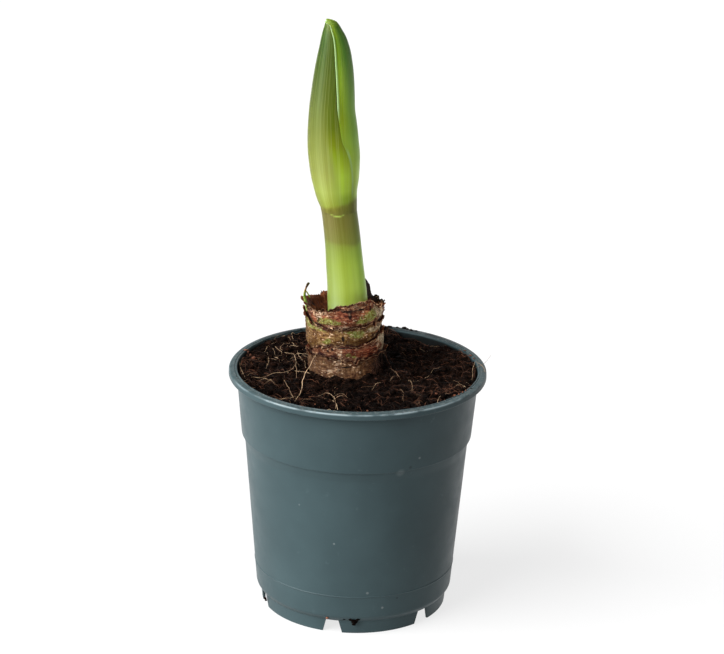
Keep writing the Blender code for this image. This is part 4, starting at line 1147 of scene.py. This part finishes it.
def bud_point(z, angle, inset):
    """A point of the bud's skin, set in by a distance, on a section square to the bud's leaning axis."""
    x, half = between(BUD, z)
    reach = 0.0005
    middle = min(max(z, BUD[0][0] + reach), BUD[-1][0] - reach)
    lean = (between(BUD, middle + reach)[0] - between(BUD, middle - reach)[0]) / (2 * reach)
    lean *= smoothstep((z - BRACT_FOOT_Z) / 0.010) * smoothstep((BUD[-1][0] - z) / 0.016)
    flat = 1 - (1 - BUD_FLATNESS) * smoothstep((z - BUD[0][0]) / 0.02)
    wide, deep = max(half - inset, BUD_LEAST), max(half * flat - inset, BUD_LEAST)
    turn = math.radians(angle)
    across = Vector((1.0, 0.0, -lean)).normalized() * wide * math.sin(turn)
    return Vector((x, SCAPE_Y - deep * math.cos(turn), z)) + across


def raised(z):
    """1 where the right bract's edge stands up as a bead, 0 where it lies flush, below the bud's waist."""
    return smoothstep((z - FLUSH_Z) / (RAISED_Z - FLUSH_Z))


def right_limits(z):
    """The right bract's first and last angle: its tip wraps over the left one."""
    hood = TIP_WRAP * smoothstep((z - HOOD_Z) / (HOOD_FULL_Z - HOOD_Z))
    return between(FRONT_SEAM, z)[0] - hood, BACK_SEAM + hood


def left_limits(z):
    low, high = right_limits(z)
    return high - 360 - TUCK, low + TUCK


def from_edge(z, angle):
    """How far inside the right bract's nearer edge an angle lies."""
    low, high = right_limits(z)
    return min(angle - low, high - angle)


def foot_thickness(z):
    """Bracts run out thin over the top of the stalk."""
    return SPATHE_LEAST + (SPATHE_THICKNESS - SPATHE_LEAST) * smoothstep((z - BUD[0][0]) / 0.0020)


def closed_tip(z):
    """Both bracts are solid at the very tip."""
    return 0.006 * smoothstep((z - HOOD_Z + 0.0005) / 0.0012)


def right_thickness(z, angle):
    edge = 0.00005 + 0.00045 * raised(z)
    grown = edge + (SPATHE_THICKNESS - edge) * smoothstep(from_edge(z, angle) / 14)
    return min(grown, foot_thickness(z)) + closed_tip(z - 0.0012)


def right_inset(z, angle):
    """The right bract's free edge is a raised bead from above the bud's waist to the tip."""
    inside = from_edge(z, angle)
    bead = bell(inside, 4.5) * (1 - smoothstep((z - HOOD_Z) / 0.003))
    return raised(z) * (0.00010 * bell(inside - 11, 5) - BEAD_OUT * bead)


def left_thickness(z, angle):
    return foot_thickness(z) + closed_tip(z)


def left_inset(z, angle):
    """The left bract dips under the right one at both seams."""
    low, high = right_limits(z)
    under = max(angle - low, high - 360 - angle)
    touch = 0.00002 + (0.00054 - BEAD_OUT) * raised(z)
    if under < 0:
        inset = touch * smoothstep(1 + under / 5)
    else:
        inset = min(touch + (SPATHE_THICKNESS + GAP - touch) * smoothstep(under / 12), foot_thickness(z) + GAP)
    return inset + 0.0012 * smoothstep((z - HOOD_FULL_Z + 0.0008) / 0.0008)


def left_shade(z, angle):
    """How far the left bract has its seam's colours at a point, and how dark it is along the seam: painted shade
    under the right bract's raised edge.
    """
    low, high = right_limits(z)
    from_seam = min(low - angle, angle - (high - 360))
    return 1 - smoothstep((from_seam - 22) / 24), bell(max(from_seam, 0), 2.5) * raised(z)


def right_shade(z, angle):
    """How far the right bract has its outer colours at a point, and how pale it is along its bead (a painted
    highlight) and along a pale streak lower down.
    """
    from_seam = from_edge(z, angle)
    rim = bell(from_seam - 1.0, 2.2) * raised(z)
    streak = bell(from_seam - 3.5, 2.5) * smoothstep((z - 0.2120) / 0.004) * smoothstep((0.2405 - z) / 0.005)
    return smoothstep((from_seam - 4) / 42), max(rim, 0.5 * streak)


def foot_share(z, angle):
    """Where the bracts' foot has the stalk's brown band: its upper limit slopes up to the right."""
    limit = BAND_TOP_Z + BAND_SLOPE * math.sin(math.radians(angle))
    limit += 0.0003 * noise.noise(Vector((angle / 9, 0.0, 4.0)))
    return smoothstep((limit - z) / 0.0026 + 0.5)


def edge_round(outer, inner, away):
    """Points that round a bract's edge off, from its outer face to its inner one."""
    middle, half = (outer + inner) / 2, (outer - inner) / 2
    out = away.normalized() * half.length
    turns = [math.pi * s / (EDGE_POINTS + 1) for s in range(1, EDGE_POINTS + 1)]
    return [middle + half * math.cos(turn) + out * math.sin(turn) for turn in turns]


def bract_section(z, angles, inset, thickness):
    """A closed loop round one bract at a height: outer face, rounded edge, inner face, rounded edge."""
    outer = [bud_point(z, angle, inset(z, angle)) for angle in angles]
    inner = [bud_point(z, angle, inset(z, angle) + thickness(z, angle)) for angle in angles]
    high_edge = edge_round(outer[-1], inner[-1], outer[-1] - outer[-2])
    low_edge = edge_round(inner[0], outer[0], outer[0] - outer[1])
    return outer + high_edge + inner[::-1] + low_edge


def bract_look(name, left, right, across, rim):
    look, surface = leaf_look(name, left, right, across, 0.14, (168, 178, 112), (84, 82, 26), 0.36)
    # rim: painted shade along the left bract's seam, a painted highlight on the right bract's bead
    look.paint(rim, look.value("rim"))
    brown = look.ramp(look.noise(500, 4, stretch=(1, 1, 0.3)), (0.3, 82, 70, 22), (0.7, 112, 106, 44))
    look.paint(brown, look.value("foot"), 0.75)
    return look.fleshy(*surface)


def make_bract(name, top, limits, inset, thickness, shade, look):
    """One green leaf of the two that close over the bud: the right one's edge lies over the left one."""
    skin = Skin()
    for k in range(SPATHE_ROWS):
        z = BRACT_FOOT_Z + (top - BRACT_FOOT_Z) * math.sin(math.pi / 2 * k / (SPATHE_ROWS - 1))
        low, high = limits(z)
        angles = [low + (high - low) * k / (SPATHE_COLUMNS - 1) for k in range(SPATHE_COLUMNS)]
        section = bract_section(z, angles, inset, thickness)
        loop = angles + [high] * EDGE_POINTS + angles[::-1] + [low] * EDGE_POINTS
        for point, angle in zip(section, loop):
            side, rim = shade(z, angle)
            turn_x, turn_y = around(angle, 1.0)
            skin.add([point], rise=(z - BRACT_FOOT_Z) / (RIGHT_TOP_Z - BRACT_FOOT_Z), side=side, rim=rim,
                     foot=foot_share(z, angle), turn_x=turn_x, turn_y=turn_y)
    skin.faces = grid_faces(SPATHE_ROWS, len(loop))
    skin.put(name + "_bract", look, name + "_green", name, sharp=80)


def make_bracts():
    # the left bract's dark seam colour is painted shade; the right bract's pale bead colour is a painted highlight
    make_bract("spathe_left", LEFT_TOP_Z, left_limits, left_inset, left_thickness, left_shade,
               bract_look("spathe_left_look", *LEFT_BRACT_COLOURS, (34, 46, 6)))
    make_bract("spathe_right", RIGHT_TOP_Z, right_limits, right_inset, right_thickness, right_shade,
               bract_look("spathe_right_look", *RIGHT_BRACT_COLOURS, (152, 186, 124)))


def strand_path(rows, steps=6):
    """Places along the withered strip, smooth through its rows."""
    to_world = plant_frame()
    keyed = [(k, *row) for k, row in enumerate(rows)]
    path = []
    for s in range((len(rows) - 1) * steps + 1):
        out, z, half = between(keyed, s / steps)
        path.append((to_world @ polar(STRAND_ANGLE, out, z), half))
    return path


def make_strand():
    """The withered strip of leaf at the left of the neck, forked at its brown tip."""
    skin = Skin()
    skin.add_tube(strand_path(STRAND), 12, 0.0, 0.55)
    skin.add_tube(strand_path(STRAND_FORK), 10, 0.0, 0.55)
    look = Look("strand_look")
    look.colour = look.ramp(look.span(look.upright(), 0.153, 0.1675), (0.0, 150, 166, 90), (0.25, 132, 158, 70),
                            (0.50, 96, 128, 22), (0.70, 118, 112, 34), (0.82, 124, 70, 36), (0.97, 44, 22, 10))
    look.paint((168, 176, 90), look.blots((900, 4), 0.4, 0.7, 0.0, 0.35))
    look.finish(0.55, look.bump(look.noise(1600, 4), 0.0002), 0.25)
    skin.put("leaf_strand_strip", look.material, "withered_leaf", "leaf_strand")


def soil_level(x, y):
    """Height of the settled soil, without its lumps."""
    wall = pot_radius(RIM_TOP_Z) - POT_WALL
    outward = min(math.hypot(x, y) / wall, 1.0)
    z = RIM_TOP_Z - SOIL_DEPTH - lobes(math.degrees(math.atan2(x, -y)), SOIL_DIPS) * outward ** 3
    dx, dy = x - (plant_frame() @ Vector((0, 0, z))).x, y - PLANT_FOOT[1]
    z += SOIL_NECK_RISE * bell(math.hypot(dx, dy), 0.024) * math.tanh(dx / 0.010) * 2
    off_neck = max(math.hypot(dx, dy) - TUNIC_OUTER_RADIUS, 0.0)
    heap = lobes(math.degrees(math.atan2(dx, -dy)), SOIL_HEAPS)
    return z + heap * bell(off_neck, SOIL_HEAP_REACH)


def soil_height(x, y):
    """Height of the crumbly surface."""
    place = Vector((x, y, 0.0))
    clods = noise.fractal(place * 150, 0.9, 2.0, 3)
    crumbs = 0.5 - noise.voronoi(place * 420)[0][0]
    grains = 0.5 - noise.voronoi(place * 1100)[0][0]
    return soil_level(x, y) + SOIL_CLODS * clods + SOIL_CRUMBS * crumbs + SOIL_CRUMBS * 0.5 * grains


def cavity_outline():
    """The hollow's (height, radius) below the surface: the bulb's outline, set out by the gap."""
    neck = TUNIC_OUTER_RADIUS + GAP
    top = shoulder_z(neck) + GAP
    rows = [(top, neck)] + [(z, radius + GAP * 1.3) for z, radius in BULB_OUTLINE if z < top and radius > 0]
    base_z, base_radius = rows[-1]
    return rows[:-1] + [(base_z - GAP, base_radius)]


def make_soil():
    """One body: up the pot's wall, in over the crumbly top, and down round the plant to the bulb's base."""
    angles = [360 / SOIL_COLUMNS * k for k in range(SOIL_COLUMNS)]
    to_world = plant_frame()
    rows = [[(*around(angle, pot_radius(z) - POT_WALL - GAP), z) for angle in angles]
            for z in (FLOOR_TOP_Z + GAP, STEP_LOW_Z, STEP_HIGH_Z)]
    level = RIM_TOP_Z - SOIL_DEPTH
    inner = [(to_world @ polar(angle, TUNIC_OUTER_RADIUS - GAP, level)).xy for angle in angles]
    outer = [Vector(around(angle, pot_radius(level) - POT_WALL)) for angle in angles]
    for k in range(SOIL_RINGS + 1):
        spots = [far.lerp(near, k / SOIL_RINGS) for far, near in zip(outer, inner)]
        rows.append([(*spot, soil_height(*spot)) for spot in spots])
    for z, radius in cavity_outline():
        rows.append([to_world @ polar(angle, radius, z) for angle in angles])
    mesh = mesh_of("soil_bed", [point for row in rows for point in row], grid_faces(len(rows), SOIL_COLUMNS), 80)
    look = peat_look("peat_look", (0.38, 2, 1, 1), (0.52, 13, 6, 3), (0.62, 28, 15, 9), (0.73, 66, 42, 29))
    put("soil_bed", mesh, look, "peat", "soil")


def lump(draw, detail):
    """The points and faces of one small irregular clod about the origin, of radius 1."""
    shape = bmesh.new()
    bmesh.ops.create_icosphere(shape, subdivisions=detail, radius=1.0)
    shift = Vector([draw.uniform(-50, 50) for _ in range(3)])
    points = [vert.co * (1 + 0.6 * noise.noise(vert.co * 1.3 + shift)) for vert in shape.verts]
    faces = [tuple(vert.index for vert in face.verts) for face in shape.faces]
    shape.free()
    return points, faces


def random_turn(draw):
    return Matrix.Rotation(draw.uniform(0, 6.28), 3, Vector([draw.gauss(0, 1) for _ in range(3)]).normalized())


def random_spot(draw, margin):
    """A place on the soil between the neck and the wall."""
    wall = pot_radius(RIM_TOP_Z - SOIL_DEPTH) - POT_WALL
    neck = plant_frame() @ Vector((0, 0, RIM_TOP_Z))
    while True:
        x, y = around(draw.uniform(0, 360), wall * math.sqrt(draw.random()))
        clear = math.hypot(x - neck.x, y - neck.y) > TUNIC_OUTER_RADIUS + margin
        if clear and math.hypot(x, y) < wall - margin:
            return x, y


def make_crumbs():
    """Loose clods of peat, half sunk in the surface, a few on the rim and the skirt, and chips of bark."""
    draw = random.Random(CRUMB_SEED)
    shapes = [lump(draw, 2 if k < FINE_SHAPES else 1) for k in range(CRUMB_SHAPES)]
    crumbs, chips = Skin(), Skin()

    def drop(place, size, shade, onto=crumbs):
        fine = size > FINE_SIZE
        points, faces = shapes[draw.randrange(FINE_SHAPES) if fine else draw.randrange(FINE_SHAPES, CRUMB_SHAPES)]
        turn = random_turn(draw)
        stretch = Vector((1, draw.uniform(0.6, 1.2), draw.uniform(0.45, 0.9)))
        if onto is chips:
            stretch = Vector((draw.uniform(0.4, 1.5), draw.uniform(0.4, 1.5), draw.uniform(0.3, 0.7)))
        onto.add([place + (turn @ point) * size * stretch for point in points], faces, tone=shade)

    for k in range(CRUMB_COUNT):
        size = CRUMB_LEAST + CRUMB_SPREAD * draw.random() ** 3.6
        x, y = random_spot(draw, size)
        drop(Vector((x, y, soil_height(x, y) + size * draw.uniform(-0.1, 0.5))), size, draw.random())
    for x, y, size in RIM_CRUMBS:
        on_rim = math.hypot(x, y) > RIM_INNER_RADIUS
        ground = RIM_TOP_Z - 0.0005 if on_rim else soil_height(x, y)
        drop(Vector((x, y, ground + size * 0.4)), size, draw.random())
    for angle, z, size in SKIRT_CRUMBS:
        drop(polar(angle, SKIRT_CRUMB_RADIUS + 0.3 * size, z), size, draw.random())
    for x, y, z, size, shade in CHIPS:
        drop(Vector((x, y, z)), size, shade, chips)
    for k in range(CHIP_COUNT):
        x, y = random_spot(draw, 0.002)
        place = Vector((x, y, soil_height(x, y) + 0.0002))
        drop(place, draw.uniform(0.0003, 0.0006), 0.6 * draw.random() ** 2, chips)
    look = peat_look("crumb_look", (0.36, 2, 1, 1), (0.50, 15, 7, 4), (0.63, 34, 19, 12), (0.74, 76, 48, 33))
    crumbs.put("peat_crumbs", look, "peat")
    chips.put("bark_chips", fibre_look("chip_look", (36, 14, 8), (136, 84, 60)), "peat")


def fibre(draw, x, y, length, wander, lift, thin, thick):
    """A fine root that wanders over the soil, as (place, radius), thin at both ends."""
    steps = max(int(length / FIBRE_STEP), 4)
    heading = draw.uniform(0, 6.28)
    bend = draw.gauss(0, wander)
    radius = draw.uniform(thin, thick)
    rise = draw.uniform(0.2, 1.0) * lift
    wall = pot_radius(RIM_TOP_Z - SOIL_DEPTH) - POT_WALL - 0.0006
    path = []
    for share in (k / steps for k in range(steps + 1)):
        reach = math.hypot(x, y)
        if reach > wall:
            x, y = x * wall / reach, y * wall / reach
        z = soil_height(x, y) + 0.0002 + rise * math.sin(math.pi * share)
        path.append((Vector((x, y, z)), radius * (0.35 + 0.65 * math.sin(math.pi * (0.08 + 0.84 * share)))))
        bend += draw.gauss(0, wander)
        bend *= 0.6
        heading += bend
        x += math.cos(heading) * length / steps
        y += math.sin(heading) * length / steps
    return path


def leaning_fibre(draw, radius, angle):
    """A fibre that leans up against the neck, as (place, radius)."""
    low = RIM_TOP_Z - SOIL_DEPTH + 0.001
    rise, swing = draw.uniform(0.004, 0.0105), draw.gauss(0, 9)
    bow = draw.uniform(-0.0004, 0.0012)
    path = []
    for share in (k / 5 for k in range(6)):
        out = radius * (1 - 0.04 * share) + bow * math.sin(math.pi * share)
        place = polar(angle + swing * share, out, low + rise * share)
        path.append((plant_frame() @ place, 0.00016 * (1 - 0.6 * share)))
    return path


def laid_fibre(points, radius, steps=7):
    """A long root through these places, with a slight waver, as (place, radius)."""
    keyed = [(k, *point) for k, point in enumerate(points)]
    count = (len(points) - 1) * steps
    path = []
    for s in range(count + 1):
        place = Vector(between(keyed, s / steps))
        waver = Vector([noise.noise(place * 190 + Vector((0, 0, 40 * axis))) for axis in range(3)])
        thickness = radius * (0.45 + 0.55 * math.sin(math.pi * (0.1 + 0.8 * s / count)))
        path.append((place + waver * FIBRE_WAVER, thickness))
    return path


def make_fibres():
    """Roots and fibres strewn through the peat: many fine brown ones, some tan ones, and long ones in view."""
    draw = random.Random(FIBRE_SEED)
    brown, tan = Skin(), Skin()

    def strew(x, y, least, most, power):
        path = fibre(draw, x, y, draw.uniform(least, most), 0.18, 0.0010, 0.00004, 0.00009)
        brown.add_tube(path, 4, draw.random() ** power)

    for k in range(BROWN_FIBRES):
        strew(*random_spot(draw, 0.001), 0.002, 0.008, 3.4)
    for x, y, reach, count in TUFTS:
        for k in range(count):
            dx, dy = around(draw.uniform(0, 360), reach * math.sqrt(draw.random()))
            strew(x + dx, y + dy, 0.004, 0.010, 1.3)
    radius, first, last, count = NECK_TUFT
    for k in range(count):
        angle = draw.uniform(first, last)
        path = leaning_fibre(draw, radius + draw.uniform(0.0004, 0.0035), angle)
        brown.add_tube(path, 4, 0.5 * draw.random())
    for k in range(TAN_FIBRES):
        x, y = random_spot(draw, 0.001)
        left = draw.random() < 0.55
        x = -abs(x) if left and math.hypot(x, y) > 0.034 else x
        path = fibre(draw, x, y, draw.uniform(0.004, 0.016), 0.14, 0.0015, 0.00004, 0.00008)
        tan.add_tube(path, 5, draw.random() ** 1.5)
    for shade, radius, points in LONG_FIBRES:
        tan.add_tube(laid_fibre(points, radius * 0.85), 6, shade)
    brown.put("peat_fibres_brown", fibre_look("fibre_brown_look", (8, 3, 2), (108, 70, 51)), "peat")
    tan.put("peat_fibres_tan", fibre_look("fibre_tan_look", (56, 28, 15), (220, 188, 150)), "peat")


def finish_hidden_solids():
    """The bulb and the young flower buds keep their solids and get looks of their own."""
    for node, name, texture, stops, roughness, height in (
            ("bulb", "bulb_flesh_look", (600, 4, 0.55, (1, 1, 0.12)),
             ((0.35, 150, 128, 84), (0.65, 206, 192, 146)), 0.55, 0.0004),
            ("flower_buds", "flower_bud_look", (900, 3, 0.55, (1, 1, 0.1)),
             ((0.35, 160, 176, 96), (0.65, 204, 208, 150)), 0.5, 0.0002)):
        look = Look(name)
        veins = look.noise(*texture)
        look.colour = look.ramp(veins, *stops)
        frame["nodes"][node].material_slots[0].material = look.finish(roughness, look.bump(veins, height))


def make_camera():
    data = bpy.data.cameras.new("camera")
    data.sensor_fit = "HORIZONTAL"
    data.sensor_width = SENSOR_WIDTH_MM
    data.lens = FOCAL_LENGTH_PX / PHOTO_WIDTH_PX * SENSOR_WIDTH_MM
    camera = placed("camera", data)
    pitch, yaw, roll = (math.radians(a) for a in (PITCH, YAW, ROLL))
    ahead = Vector((math.sin(yaw) * math.cos(pitch), math.cos(yaw) * math.cos(pitch), -math.sin(pitch)))
    right = ahead.cross(Vector((0, 0, 1))).normalized()
    up = right.cross(ahead)
    right, up = right * math.cos(roll) + up * math.sin(roll), up * math.cos(roll) - right * math.sin(roll)
    camera.matrix_world = Matrix.Translation(EYE) @ Matrix((right, up, -ahead)).transposed().to_4x4()
    bpy.context.scene.camera = camera


def sun_light(name, turn, rise, spread, power):
    """A distant soft light from a turn round the pot, counted from the front, and a height over the table."""
    data = bpy.data.lights.new(name, "SUN")
    data.angle = math.radians(spread)
    data.energy = power
    x, y = around(turn, math.cos(math.radians(rise)))
    source = Vector((x, y, math.sin(math.radians(rise))))
    placed(name, data).matrix_world = (-source).to_track_quat("-Z", "Y").to_matrix().to_4x4()


def make_world():
    """A dim room with a pale wall behind."""
    world = bpy.data.worlds.new("studio")
    world.use_nodes = True
    nodes, links = world.node_tree.nodes, world.node_tree.links
    way = nodes.new("ShaderNodeVectorMath")
    way.operation = "DOT_PRODUCT"
    way.inputs[1].default_value = (*around(180 - BACK_TURN, 1.0), 0.0)
    links.new(nodes.new("ShaderNodeTexCoord").outputs["Generated"], way.inputs[0])
    glow = nodes.new("ShaderNodeMapRange")
    glow.interpolation_type = "SMOOTHSTEP"
    links.new(way.outputs["Value"], glow.inputs["Value"])
    for socket, number in (("From Min", 0.60), ("From Max", 0.95), ("To Min", WORLD_GLOW), ("To Max", BACK_GLOW)):
        glow.inputs[socket].default_value = number
    nodes["Background"].inputs["Color"].default_value = (1.0, 1.0, 1.0, 1.0)
    links.new(glow.outputs["Result"], nodes["Background"].inputs["Strength"])
    bpy.context.scene.world = world
    bpy.context.scene.view_settings.view_transform = "Standard"


def make_floor():
    """A softly glowing white table, as product photographs are taken on."""
    look = Look("floor_look")
    look.colour = look.ramp(look.noise(3, 3), (0.3, 106, 106, 106), (0.7, 110, 110, 110))
    look.shader.inputs["Emission Color"].default_value = (1.0, 1.0, 1.0, 1.0)
    look.shader.inputs["Emission Strength"].default_value = FLOOR_GLOW
    mesh = bpy.data.meshes.new("floor")
    half = FLOOR_WIDTH / 2
    mesh.from_pydata([(-half, -half, 0), (half, -half, 0), (half, half, 0), (-half, half, 0)], [], [(0, 1, 2, 3)])
    mesh.materials.append(look.finish(0.9, None, 0.05))
    placed("floor", mesh)


make_camera()
sun_light("key_light", KEY_TURN, KEY_RISE, KEY_SPREAD, KEY_POWER)
sun_light("top_light", TOP_TURN, TOP_RISE, TOP_SPREAD, TOP_POWER)
make_world()
make_floor()
make_pot()
make_soil()
make_crumbs()
make_fibres()
make_tunics()
make_scraps()
make_scape()
make_bracts()
make_strand()
finish_hidden_solids()
